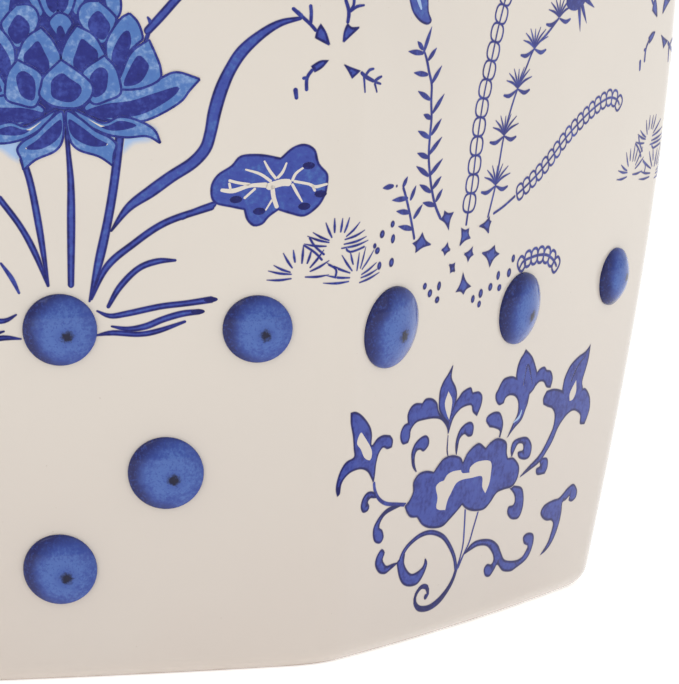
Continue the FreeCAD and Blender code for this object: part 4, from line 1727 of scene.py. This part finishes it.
@dataclass(frozen=True)
class WaterWeeds(Motif):
    """Rooted water weeds and scattered dots, for the sides between the lotus sides."""

    def feathered(self, brush: Brush) -> None:
        """Paints the tall leafy weed, the leaf above it and its small neighbour."""
        brush.on_layer(0)
        brush.fill(
            [(-61, 178), (-60, 171.5), (-57, 167.7), (-53, 165.8), (-50.8, 166.6), (-52.2, 169.2),
            (-52.6, 173), (-54, 179)], LEAF)
        brush.on_layer(1).stroke(
            [(-57.4, 177), (-57, 173.5), (-55.4, 170, 0.4)], 1.5, MIST, CRISP)
        brush.on_layer(0).stroke(
            [(-53.8, 159.6, 0.6), (-52.2, 156.6), (-51, 153.4), (-49.6, 150), (-49.4, 145.8), (-48.8, 141),
            (-49, 136), (-48.8, 131), (-47.6, 126), (-46, 121.5), (-44, 117.6), (-41.2, 114)], 1.0,
            DEEP)
        leaves = (
            ((-50.6, 165.2), (-53.8, 158.8)), ((-56.6, 162), (-54, 159.6)), ((-60.3, 159.8),
            (-53.9, 158.6)), ((-57.6, 154), (-51.6, 152.8)), ((-55.4, 149), (-50, 146.2)), ((-52.4, 142.6),
            (-49, 141.2)), ((-54.4, 138.6), (-49.2, 136.2)), ((-54, 132.8), (-49, 131)), ((-54, 129.4),
            (-48.3, 126.2)), ((-52, 124.4), (-46.8, 121.8)), ((-50, 119.4), (-44.4, 118)), ((-48.1, 159.4),
            (-51.6, 156.6)), ((-45.5, 154.5), (-49.7, 150.3)), ((-43.7, 147), (-48.4, 142.6)),
            ((-44.3, 140.6), (-48.4, 136.9)), ((-43.5, 135.8), (-48.9, 131.8)), ((-42.5, 130),
            (-47.9, 126.2)), ((-42.5, 125.4), (-46.1, 122.6)), ((-41.5, 122), (-44.2, 119)),
            ((-57.2, 127.2), (-59, 124.6)), ((-67.5, 125.4), (-63, 125.4)), ((-63.2, 121.7),
            (-56.6, 121.4)), ((-53.3, 124.4), (-55.3, 120.8)), ((-61, 118.6), (-55.2, 117.5)),
            ((-49.8, 119), (-53.2, 115.8)), ((-59.6, 114.5), (-53.4, 113)))
        for tip, base in leaves:
            brush.blade(tip, base, 1.5)
        brush.dot(-61.6, 125.2, 0.8, 0.8)
        brush.stroke([(-59, 124.8), (-57.2, 121.6), (-55, 117), (-53.4, 113.4), (-52, 110)], 0.95)

    def beads(self, brush: Brush) -> None:
        """Paints the three braids of cells and their stalks."""
        brush.on_layer(0)
        brush.cells(
            [(-29, 114.2), (-28.4, 119), (-28, 123.4), (-27.7, 128), (-27.5, 132), (-26.9, 137),
            (-26.2, 141.6), (-25.3, 146.2), (-23.8, 151), (-22.4, 155.8), (-20.9, 160.8), (-19, 165.6),
            (-16.8, 171), (-14, 178), (-10.4, 186), (-6, 194)], 2.8, 4.9)
        brush.stroke([(-29, 114.4), (-29.3, 110.6)], 0.9, DEEP)
        brush.cells(
            [(-6, 115.9), (-1, 117.9), (4.8, 120.6), (10.5, 123.8), (15.2, 126.8), (20, 129.4),
            (25.4, 131.8), (30.8, 133.8), (36, 135.2), (41, 135.8), (45.4, 134.6), (47.4, 132.4)], 2.1, 3.3)
        brush.stroke([(-17, 112.2), (-12, 113.6), (-6.6, 115.7)], 0.8, DEEP)
        brush.cells(
            [(-1, 95.4), (0.6, 97.2), (4.6, 97.8), (9, 97.9), (13.4, 97.2), (17.2, 95.2), (19.6, 92.8)],
            2.1, 3.1, 0.85)

    def whorls(self, brush: Brush) -> None:
        """Paints the whorled weed with its flower."""
        brush.on_layer(0)
        needles = ((-64, 5.2), (-44, 5.8), (-24, 5.8), (-4, 5.2), (16, 5.8), (38, 6.2), (60, 5.8))
        for along, level in ((9.6, 160.7), (-2.5, 154), (-9.7, 144.3), (-14.8, 132.6), (-17, 119.8)):
            for angle, reach in needles:
                lean = math.radians(angle + 6.0)
                out = (along + reach * 1.3 * sin(lean), level + reach * cos(lean))
                bend = (along + reach * 0.6 * sin(lean * 0.8), level + reach * 0.5 * cos(lean * 0.8) - 0.2)
                brush.stroke([out + (0.35,), bend, (along, level, 0.5)], 0.8, DEEP, step=1.0)
            for reach in (-6.8, 6.2):
                brush.stroke([(along + reach, level - 1.0, 0.6), (along + reach * 0.55, level - 1.5, 1.2),
                              (along, level - 0.2, 0.5)], 1.0, DEEP, step=0.8)
        brush.stroke(
            [(9.6, 160.7), (3.8, 157.2), (-2.5, 154), (-6, 149.4), (-9.7, 144.3), (-12.6, 138.6),
            (-14.8, 132.6), (-16, 126), (-17, 119.8), (-18.2, 115.4), (-19.4, 111.4)], 0.8, DEEP)
        brush.fill(
            [(13, 165), (14.6, 162.4), (19, 161.6), (23.6, 163.6), (25.2, 167.6), (22, 171.5), (16.5, 171)],
            DEEP)
        for tip in (
                (28.6, 161.2), (24.6, 157.4), (21.2, 155.6), (27.8, 166.5), (11, 168.5), (13, 174),
                (19, 177), (25, 174.5)):
            brush.blade(tip, (19.4, 166.4), 1.6)

    def roots_and_dots(self, brush: Brush) -> None:
        """Paints the root stars and the scattered dots."""
        brush.on_layer(0)
        stars = (
            ((-48.8, 111.7), (-43.8, 107.6), (-51.2, 106.3), (-53, 109.2)), ((-40, 116.2), (-35.4, 115.2),
            (-37, 110.3), (-41.8, 114)), ((-31.6, 110.6), (-27.6, 110), (-26.4, 107), (-31.8, 105.2)),
            ((-37, 107.6), (-34.8, 105), (-38, 103.8), (-40.2, 105.8)), ((-25, 104.9), (-24.2, 102.4),
            (-26.8, 100.6), (-29.6, 103.4)), ((-36, 101.8), (-32.6, 101.6), (-31.9, 98.7), (-34.6, 98.8)),
            ((-28.6, 98.6), (-23.8, 94), (-27.2, 92.2), (-31.2, 93.4)), ((-14.5, 103.8), (-11.6, 101),
            (-16, 97.8), (-21.2, 102.6)), ((-23.8, 109.8), (-18.3, 112), (-17.2, 110.4), (-17.9, 106.8)))
        for tips in stars:
            brush.star(tips, 0.74)
        ovals = (
            (-62, 115.4), (-66, 113.3), (-61.3, 111.5), (-67.4, 109.2), (-66, 105.1), (-61, 105.3),
            (-45.4, 97), (-42.8, 94.8), (-39, 96.2), (-39.2, 92.6), (-22.5, 90.5), (-19, 91.5),
            (-19.2, 88.7), (-14.6, 92.6), (-11.3, 95.2), (-10.1, 91.8), (-4.6, 98.8), (-6, 95.2))
        for number, (along, level) in enumerate(ovals):
            brush.dot(along, level, 1.8 + 0.3 * (number % 2), 1.9 + 0.3 * (number % 3))

    def parts(self) -> list[Callable[[Brush], None]]:
        """Its parts in order."""
        return [self.feathered, self.beads, self.whorls, self.roots_and_dots]


@dataclass(frozen=True)
class PeonyScroll(Motif):
    """A peony on a curling stem with hooked leaves, below the weeds."""

    def flower(self, brush: Brush) -> None:
        """Paints the peony, with its middle left bare."""
        brush.on_layer(1).fill(
            [(-42.5, 38.5, 1), (-40.5, 40), (-39.5, 42), (-40, 44.5), (-38, 46.5), (-34.5, 46.8),
            (-31, 46, 1), (-29, 47.8), (-27, 49), (-23, 49.2), (-19, 48), (-17.5, 46.5, 1), (-15.5, 49),
            (-11, 50.6), (-7, 48.7, 1), (-4.5, 50), (-1, 50.4), (3.5, 48.6), (4.5, 45.5), (5.5, 44, 1),
            (8.5, 43.6), (12, 41), (12.5, 38.4), (11.5, 36.5), (9.5, 35.4), (5.5, 35.4), (2, 35),
            (-0.5, 33), (-3.5, 31.5), (-8.5, 31.8), (-12.5, 33), (-15, 34.5, 1), (-16.5, 33.5), (-20, 31.5),
            (-23.5, 30), (-29, 30.5), (-33, 32), (-36, 34.5, 1), (-39, 35), (-41, 36.5)], FULL)
        brush.on_layer(2).fill(
            [(-29, 41.5), (-27.5, 42.6), (-25.5, 42.8), (-24.5, 44), (-22, 44.6), (-18, 44.4, 1),
            (-17, 43.4), (-13.5, 43, 1), (-13.5, 44.4), (-10, 45.4), (-3.5, 44.4), (-2.5, 40.5), (-2.8, 38),
            (-4, 36, 1), (-6, 38), (-7, 41), (-12.5, 41.4), (-16.5, 41.6), (-19.5, 41), (-21.5, 38.5),
            (-22.5, 37), (-23, 34.5, 1), (-26, 35), (-27.5, 36), (-27.5, 38.5)], RESERVE, CRISP)

    def hooked(self, brush: Brush, *outlines: Points) -> None:
        """Fills the leaves, each with its dark edge."""
        for outline in outlines:
            brush.on_layer(0).fill(outline, FULL, step=0.7)

    def tops(self, brush: Brush) -> None:
        """Paints the four hooked leaves above the peony."""
        self.hooked(
            brush, [(-71, 67.5, 1), (-69, 67.5), (-66, 66), (-62.5, 63), (-61, 60.5), (-60.5, 57.5),
            (-58.5, 59), (-56, 59.5), (-53, 59, 1), (-51.5, 57.5), (-51.5, 55.5, 1), (-53.5, 55.3),
            (-55.5, 56), (-57, 54.5), (-57.5, 52), (-57.4, 49.5), (-57.5, 46.6, 1), (-59, 48.5),
            (-61, 50.5), (-64, 51.6), (-67.5, 51.4), (-69.5, 50.2), (-70.4, 48.5), (-70.4, 46),
            (-71.2, 45.3, 1), (-72, 47.5), (-72, 50), (-71.4, 52.5), (-70, 54.5), (-67.5, 55.4),
            (-68, 57.5), (-69, 61), (-70.4, 64.5)], [(-48.5, 57.5), (-48.5, 59.4), (-47.5, 60.8),
            (-46, 61.2, 1), (-46.5, 63.4), (-45.5, 65.2), (-43.5, 66), (-40.5, 65.6, 1), (-39, 66.6),
            (-36, 66.2), (-33.5, 64.6), (-32, 62), (-27, 58), (-26.5, 54.5, 1), (-27.5, 57), (-30.5, 59.5),
            (-34, 60.5), (-38.5, 60.8), (-42, 60.6), (-44, 59), (-44, 57.2), (-44.5, 55.6, 1), (-47, 55.6)],
            [(-32, 62), (-33, 65.5), (-33, 68), (-32, 70), (-30, 72), (-28, 74.5, 1), (-28.3, 71.5),
            (-27.8, 70), (-25.5, 67.5), (-24.5, 65), (-25, 62.5), (-26, 60), (-27, 58)], [(-26.5, 54.5, 1),
            (-27.4, 58.6), (-25.5, 63), (-23.5, 64.8), (-22, 66), (-18.5, 66.6), (-17, 65, 1), (-14, 64.8),
            (-12, 63.2), (-12, 60.8), (-13.5, 58, 1), (-16, 59.6), (-17, 61.4), (-20, 61.6), (-22.5, 61),
            (-25, 59)], [(-5, 61), (-5.5, 62.8), (-4.5, 64, 1), (-3.5, 65.4), (-2, 66.5), (1.5, 66.6),
            (5, 65.6), (12, 63), (12.5, 58.5), (11.5, 56), (10, 53.5), (6.5, 51.6), (3, 49, 1), (5.5, 53),
            (7.3, 55.5), (7, 58.5), (5, 60.5), (2, 61.3), (0, 60.8), (-0.5, 59.6, 1), (-3, 59.4)],
            [(4.5, 64.8), (4, 68), (5, 70.5), (6.5, 71.8), (7.5, 73, 1), (11.5, 70.4), (14, 67.5),
            (15.5, 65), (15.4, 62), (13.5, 60.4), (11.5, 60), (8, 62)], [(14.5, 65.2, 1), (16.5, 66.4),
            (19, 66.6), (20.5, 65.5, 1), (23, 64.8), (24.6, 62.5), (24, 60, 1), (21.5, 60.6), (19.5, 62.3),
            (17, 62.6), (14.5, 61.6)], [(21, 56, 1), (20.5, 57.8), (22, 59.6, 1), (26, 59.6), (31, 58.4),
            (36.5, 56), (43, 57), (45.5, 56.6), (48.5, 54), (49.5, 50.8), (48.7, 48.5), (47.5, 46.6, 1),
            (44.5, 47.2), (44, 49.5), (41.5, 51), (39, 51.6), (36.5, 51.2), (34, 50), (31.5, 48),
            (29.5, 45), (27, 42.6), (23.5, 40), (18.5, 38.6), (12, 37, 1), (17, 39.6), (22, 41.8),
            (24.6, 43.8), (27, 46.6), (28.5, 49), (28.4, 52), (26.5, 54), (23.5, 55, 1)], [(31, 58),
            (31, 60), (31.5, 62), (34, 64.8), (38, 66.5), (42, 67.4), (44.8, 69, 1), (44.6, 65), (43.6, 62),
            (42.5, 59), (43.5, 56.5), (40.5, 54), (36, 54), (32.5, 56)], [(22.4, 41.2, 1), (27.5, 40.6),
            (28.6, 38), (27.5, 36.2, 1), (23, 36.6), (22, 38.5), (24, 39)])
        brush.on_layer(1)
        for slit in (
                [(-66, 61.5), (-64.5, 60.5), (-61, 57), (-60, 55), (-60.5, 53.5), (-63, 54.5), (-65, 57),
                (-67, 59)], [(-29, 67, 1), (-26.8, 64.5), (-26.6, 62), (-27, 59.2, 1), (-28.5, 61),
                (-30, 64)], [(38.5, 60, 1), (39.3, 56.8), (38, 54.9), (36.2, 54.7, 1), (35.6, 56.5),
                (36.5, 58)]):
            brush.fill(slit, RESERVE, CRISP)
        for line in (
                [(8.6, 63, 0.5), (9.3, 68.4), (11, 66.8), (13.4, 62.6, 0.5)], [(-26.5, 55, 0.6), (-26, 51),
                (-25, 48.8, 0.6)], [(35.4, 60), (38.6, 64), (42.6, 66.2, 0.4)]):
            brush.stroke(line, 0.6, LINE, CRISP)
        brush.stroke([(5.6, 53.4, 0.3), (8.6, 54.6), (9.4, 56.4, 0.3)], 0.9, MIST, CRISP)

    def curls(self, brush: Brush) -> None:
        """Paints the small curled buds between the leaves."""
        self.hooked(
            brush, [(-37.6, 45.8, 1), (-41, 48.5), (-42.2, 51), (-42.5, 53), (-41.5, 55), (-39.5, 56.2),
            (-37, 56.6), (-35.2, 55.4), (-35, 53.5), (-37, 52.2), (-38.6, 52.9), (-40, 52.8), (-40.6, 51.8),
            (-40.4, 50), (-39.4, 48)], [(-21, 48, 1), (-22.2, 51), (-22.2, 53.5), (-21, 55.8), (-18.5, 57),
            (-16, 57), (-14.4, 55.6), (-14.5, 53.2), (-16.5, 53), (-18.6, 54), (-20.5, 53), (-20.8, 51)],
            [(-1.4, 49.2, 1), (-0.8, 52), (-3.5, 53.3), (-6.4, 54, 1), (-8.6, 56), (-8, 57.4), (-5, 58),
            (-2, 57.4), (0, 55.2), (0.6, 53), (-0.4, 49.2, 1)], [(7.5, 43.5, 1), (6.3, 46), (7.3, 48.3),
            (11.5, 48.7), (15, 48), (17.7, 45.5), (17.5, 42.6), (15, 42), (11.5, 43), (10.4, 44.8),
            (13, 45), (12.5, 46.6), (10, 47), (8.6, 45.5)], [(7, 36.3, 1), (11.5, 35.6), (15.5, 34.4),
            (17.3, 31.6), (17.6, 28.4), (16, 26), (12, 26.4), (9.4, 28.3), (9.5, 30.2), (12, 30.3),
            (12.5, 31.5), (11.2, 33.5)], [(-54.6, 42.6, 1), (-56.5, 44.5), (-59.5, 45), (-61.4, 43.6),
            (-61.8, 41.3), (-60.5, 39.6), (-58.4, 39.8), (-58, 41), (-58.9, 42.2), (-58, 43),
            (-56.5, 42.8)], [(-42.5, 39, 1), (-47, 39.6), (-50.5, 39), (-53.2, 37.3), (-54.9, 35),
            (-54.8, 32.7), (-53.5, 30.7), (-51, 30), (-49.8, 31.4), (-50.8, 33.5), (-52.3, 34.5),
            (-51.8, 36.3), (-49.5, 37.8)])
        brush.on_layer(0).stroke(
            [(-57.5, 47.4), (-56.6, 45), (-54.5, 42.5), (-51, 40.6), (-46, 39.6), (-41.6, 38.8)], 1.1,
            DEEP)

    def lower(self, brush: Brush) -> None:
        """Paints the curling stems below the peony and the leaf beside them."""
        brush.on_layer(0)
        brush.stroke([(-13, 33.4), (-12, 27.5), (-11.5, 23.5), (-12, 20), (-13, 16.5, 1.8)], 0.75)
        brush.stroke([(-6, 32), (-7.5, 27), (-8.5, 23.5), (-10.5, 20.5), (-12.6, 17, 1.6)], 0.75)
        brush.stroke(
            [(-13, 16.5, 1.1), (-15, 20.5), (-18.5, 24.4), (-22.5, 27.4), (-28, 29.3), (-33, 29.3),
            (-37.5, 27.7), (-40, 25.5, 1.2), (-40.8, 22.6, 1.4)], 1.4, LEAF)
        brush.stroke(
            [(-12.8, 18), (-14, 14.5, 1.2), (-16, 12, 1.3), (-19.5, 9.6, 1.5), (-24, 8.4, 1.3),
            (-28.6, 9, 1.2), (-31, 11), (-31, 13.2), (-29, 14.8), (-26.4, 14.3, 1.1), (-25.4, 12.4),
            (-27, 11.4, 1.5)], 1.35, LINE)
        self.hooked(
            brush, [(-42.4, 23.5, 1), (-40.4, 19.5), (-38, 17), (-34.5, 15.8), (-31, 16), (-28.7, 18.2),
            (-27.8, 21), (-29.4, 23, 1), (-29.6, 20.8), (-31.6, 19.6), (-34.5, 19.3), (-37, 20.8),
            (-38.8, 23), (-39.2, 25.6)], [(-50, 28.4), (-51.8, 26.6), (-51.9, 24.3), (-49.8, 22),
            (-47, 21.2), (-45, 21.8), (-41.6, 23.4), (-44, 23.6), (-46.5, 23.4), (-47.8, 24.2),
            (-48.8, 25.5), (-48.3, 27.2)], [(-11.6, 20, 1), (-7.5, 22.8), (-3.5, 23.4), (2.5, 22.5),
            (6.8, 20.4), (9.3, 17.8), (12, 15.4), (17.5, 14.3), (21.2, 14.6), (23, 16), (23.6, 17.2),
            (21.3, 18.2), (20.3, 20.2), (22.5, 21), (25.8, 20.2), (26.8, 18), (25.8, 15), (23.5, 13.2),
            (19, 12), (16, 11.5), (11.5, 12.4), (8.2, 14.6), (7, 13.6), (5, 12), (2.5, 12.5), (1.2, 14.5),
            (2.5, 15.8), (4.8, 15.4), (5.6, 16.5), (4.3, 18.5), (1, 20.8), (-3.5, 21.6), (-7.5, 21)],
            [(31.3, 13, 1), (35, 16), (36.3, 18.5), (36.8, 21), (35.3, 22.2), (32.5, 22.6), (29.8, 23.8),
            (28.3, 25.5), (29.8, 27.3), (34.5, 28), (38, 28), (40.5, 29), (42.5, 30), (46, 30.6),
            (48.9, 28.4), (48.8, 26.4), (46.5, 25.6), (44.3, 26.3), (44.6, 27.4), (42.5, 26.6),
            (40.8, 26.2), (41, 24), (40.8, 21.5), (39.8, 18.5), (37.8, 15.8), (35, 14)])

    def parts(self) -> list[Callable[[Brush], None]]:
        """Its parts in order."""
        return [self.tops, self.curls, self.lower, self.flower]


@dataclass(frozen=True)
class CoinBorder:
    """The double ring and the pearls painted round a pierced coin."""

    radius: float = 38.0
    pearls: int = 24

    def paint(self, brush: Brush, layout: Layout) -> None:
        """Paints the border about the layout's place.

        Args:
            brush: the brush.
            layout: where it goes.
        """
        brush.layout = layout
        brush.on_layer(0)
        for gap, width in ((3.0, 1.6), (9.4, 0.9)):
            ring = [((self.radius + gap) * cos(angle), (self.radius + gap) * sin(angle))
                    for angle in np.linspace(0.0, 2.0 * pi, 33)[:-1]]
            brush.stroke(ring, width, LEAF, closed=True, step=1.6)
        for number in range(self.pearls):
            angle = 2.0 * pi * number / self.pearls
            reach = self.radius + 6.4
            brush.dot(reach * cos(angle), reach * sin(angle), 2.2, 2.2)


@dataclass(frozen=True)
class SeatPainting:
    """The seat's painting: the coin's border, six hooked sprays and a line along the edge."""

    coin: CoinBorder = CoinBorder()

    def spray(self, brush: Brush) -> None:
        """Paints one spray that points along +Z of its layout."""
        brush.on_layer(0)
        brush.fill(
            [(-6, 68), (-8.4, 76), (-5.6, 84), (0, 93, 1), (5.6, 84), (8.4, 76), (6, 68), (0, 65)],
            LEAF)
        brush.on_layer(1).stroke([(0, 87, 0.4), (0, 80), (0, 71, 0.5)], 2.0, RESERVE, CRISP)
        brush.on_layer(0)
        for hand in (1.0, -1.0):
            brush.stroke([(hand * 3, 67), (hand * 12, 72, 1.2), (hand * 19, 79, 1.3), (hand * 24, 77, 1.1),
                          (hand * 23, 71, 0.9)], 3.2, LEAF)
            brush.stroke([(0, 64, 0.6), (hand * 8, 58, 0.8), (hand * 17, 58), (hand * 22, 63, 1.2),
                          (hand * 19, 67)], 2.0, LEAF)
            tail = [(hand * 12, 88, 0.4), (hand * 20, 92), (hand * 30, 92, 1.2), (hand * 35, 87, 1.2)]
            brush.stroke(tail, 2.4, LEAF)
            brush.dot(hand * 14, 97, 2.6, 2.6)
        brush.dot(0, 99, 2.6, 2.6)

    def paint(self, brush: Brush) -> None:
        """Paints the seat."""
        self.coin.paint(brush, Layout())
        for number in range(SIDES):
            brush.layout = Layout(spin=pi / 3.0 * number)
            self.spray(brush)
        brush.layout = Layout()
        corners = []
        for number in range(SIDES):
            angle = pi / 3.0 * number + pi / 6.0
            for lean, reach in ((-pi / 6.0, 103.0), (-pi / 16.0, 109.5), (0.0, 116.0), (pi / 16.0, 109.5)):
                corners.append((reach * cos(angle + lean - pi / 6.0), reach * sin(angle + lean - pi / 6.0)))
        brush.on_layer(0).stroke(corners, 1.4, LEAF, closed=True, step=2.0)


@dataclass
class Painting:
    """Everything that is painted on the stool, one piece for each side, each corner and the seat."""

    barrel: Barrel
    paint: Material
    seat: Object
    lotus: LotusPond = LotusPond()
    weeds: WaterWeeds = WaterWeeds()
    scroll: PeonyScroll = PeonyScroll()
    corner: CornerGarden = CornerGarden()
    coin: CoinBorder = CoinBorder()
    seat_painting: SeatPainting = SeatPainting()
    brush_lean: float = 0.083
    mirror_level: float = 435.0
    coin_height: float = 286.0
    bloom_height: float = 130.0
    bare_corner_buds: tuple[float, float] = (-10.0, -10.0)
    bare_corner_moss: tuple[float, float] = (-10.0, 8.3)

    def side(self, number: int) -> Object:
        """Paints one side.

        Args:
            number: number of the side.

        Returns:
            The painting.
        """
        brush = Brush(2.0 * (number - 1))
        seen = number in (1, 2)
        straighten = 0.0 if seen else self.brush_lean
        pierced = number in (1, 4)
        if number % 2 == 1:
            self.lotus.paint(brush, Layout(straighten=straighten))
            if not pierced:
                brush.layout = Layout(shift=-14.0, raise_by=self.bloom_height)
                self.lotus.flower(brush)
                brush.on_layer(0).stroke([(10, 141), (10, 128), (14, 112), (20, 92), (30, 72)], 2.0,
                                         LEAF)
        else:
            self.weeds.paint(brush, Layout())
            self.scroll.paint(brush, Layout(straighten=straighten * 0.6))
            self.scroll.paint(brush, Layout(straighten=straighten * 0.6, turn_over=self.mirror_level))
            if not pierced:
                brush.layout = Layout(shift=6.0, raise_by=self.bloom_height - 14.0, scale=0.9, mirror=True)
                self.lotus.flower(brush)
        if pierced:
            self.coin.paint(brush, Layout(raise_by=self.coin_height))
        return brush.finish("painting_side_%d" % number, self.barrel, self.paint)

    def corner_piece(self, number: int) -> Object:
        """Paints one corner.

        Args:
            number: number of the corner; corner 1 is between sides 1 and 2.

        Returns:
            The painting.
        """
        brush = Brush(2.0 * number - 1.0, grid=1.5)
        leafy = number % 2 == 1
        bud_shift = (0.0, 0.0) if leafy else self.bare_corner_buds
        moss_shift = (0.0, 0.0) if leafy else self.bare_corner_moss
        self.corner.paint(brush, Layout(), leafy, bud_shift, moss_shift)
        self.corner.paint(brush, Layout(turn_over=self.mirror_level), leafy, bud_shift, moss_shift)
        return brush.finish("painting_corner_%d" % number, self.barrel, self.paint)

    def build(self) -> list[Object]:
        """Paints the whole stool."""
        made = [self.side(number) for number in range(1, SIDES + 1)]
        made += [self.corner_piece(number) for number in range(1, SIDES + 1)]
        brush = Brush(0.0)
        self.seat_painting.paint(brush)
        made.append(brush.finish("painting_seat", self.barrel, self.paint, self.seat))
        return made


@dataclass(frozen=True)
class Studio:
    """A plain pale floor, soft light from all sides and a long lens."""

    camera_place: Place = (187.26, -2413.63, 397.78)
    camera_turn: Place = (82.2346, 2.9529, 2.3935)
    lens: float = 474.307
    sensor: float = 36.0
    surround: float = 0.86
    floor_reach: float = 6.0
    key_place: Place = (-1.6, -2.0, 2.2)
    fill_place: Place = (2.2, -1.4, 1.2)
    key_power: float = 9.0
    fill_power: float = 5.0

    def camera(self) -> None:
        """Places the camera at the photograph's angle."""
        data = bpy.data.cameras.new("camera")
        data.sensor_fit = "VERTICAL"
        data.sensor_height = self.sensor
        data.sensor_width = self.sensor
        data.lens = self.lens
        data.clip_end = 20.0
        made = bpy.data.objects.new("camera", data)
        made.location = [value * MM for value in self.camera_place]
        made.rotation_euler = [math.radians(value) for value in self.camera_turn]
        bpy.context.scene.collection.objects.link(made)
        bpy.context.scene.camera = made

    def panel(self, name: str, place: Place, size: float, power: float) -> None:
        """Adds a soft light that faces the stool.

        Args:
            name: its name.
            place: where it stands, in metres.
            size: its width, in metres.
            power: its power, in watts.
        """
        data = bpy.data.lights.new(name, "AREA")
        data.shape = "SQUARE"
        data.size = size
        data.energy = power
        made = bpy.data.objects.new(name, data)
        made.location = place
        towards = Vector((0.0, 0.0, 0.2)) - Vector(place)
        made.rotation_euler = towards.to_track_quat("-Z", "Y").to_euler()
        bpy.context.scene.collection.objects.link(made)

    def build(self) -> None:
        """Sets up floor, light and camera."""
        mesh = bpy.data.meshes.new("studio_floor")
        reach = self.floor_reach
        corners = [(-reach, -reach, 0.0), (reach, -reach, 0.0), (reach, reach, 0.0), (-reach, reach, 0.0)]
        mesh.from_pydata(corners, [], [(0, 1, 2, 3)])
        floor = add_object("studio_floor", mesh)
        mesh.materials.append(StudioFloor().material())
        world = bpy.data.worlds.new("studio")
        world.use_nodes = True
        world.node_tree.nodes["Background"].inputs[0].default_value = (1.0, 1.0, 1.0, 1.0)
        world.node_tree.nodes["Background"].inputs[1].default_value = self.surround
        bpy.context.scene.world = world
        self.panel("key_light", self.key_place, 1.6, self.key_power)
        self.panel("fill_light", self.fill_place, 2.0, self.fill_power)
        bpy.context.scene.view_settings.view_transform = "Standard"
        self.camera()


def dress_inner_pieces(clay: Material) -> list[str]:
    """Gives the clay coils inside the stool their finish.

    Args:
        clay: bare clay's material.

    Returns:
        The names of the dressed pieces.
    """
    names = ["corner_coil_%d" % number for number in range(1, SIDES + 1)] + ["seat_joint_coil", "foot_band"]
    for name in names:
        node = frame["nodes"][name]
        node.data.materials.clear()
        node.data.materials.append(clay)
    return names


def main() -> None:
    """Builds the stool's looks in order and reports each piece."""
    logging.basicConfig(level=logging.INFO, format="%(name)s: %(message)s")
    glaze = ClearGlaze().material()
    painting = CobaltPainting().material()
    cobalt = CobaltStud().material()
    clay = BareClay().material()
    barrel = Barrel()
    body = GlazedBody(barrel).build(glaze)
    LOG.info("glazed body: %d faces", len(body.data.polygons))
    for piece in Studs(barrel).build(cobalt):
        LOG.info("studs: %s", piece.name)
    for piece in Painting(barrel, painting, body).build():
        LOG.info("painting: %s, %d faces", piece.name, len(piece.data.polygons))
    for name in dress_inner_pieces(clay):
        LOG.info("clay piece: %s", name)
    Studio().build()


if __name__ == "__main__":
    main()
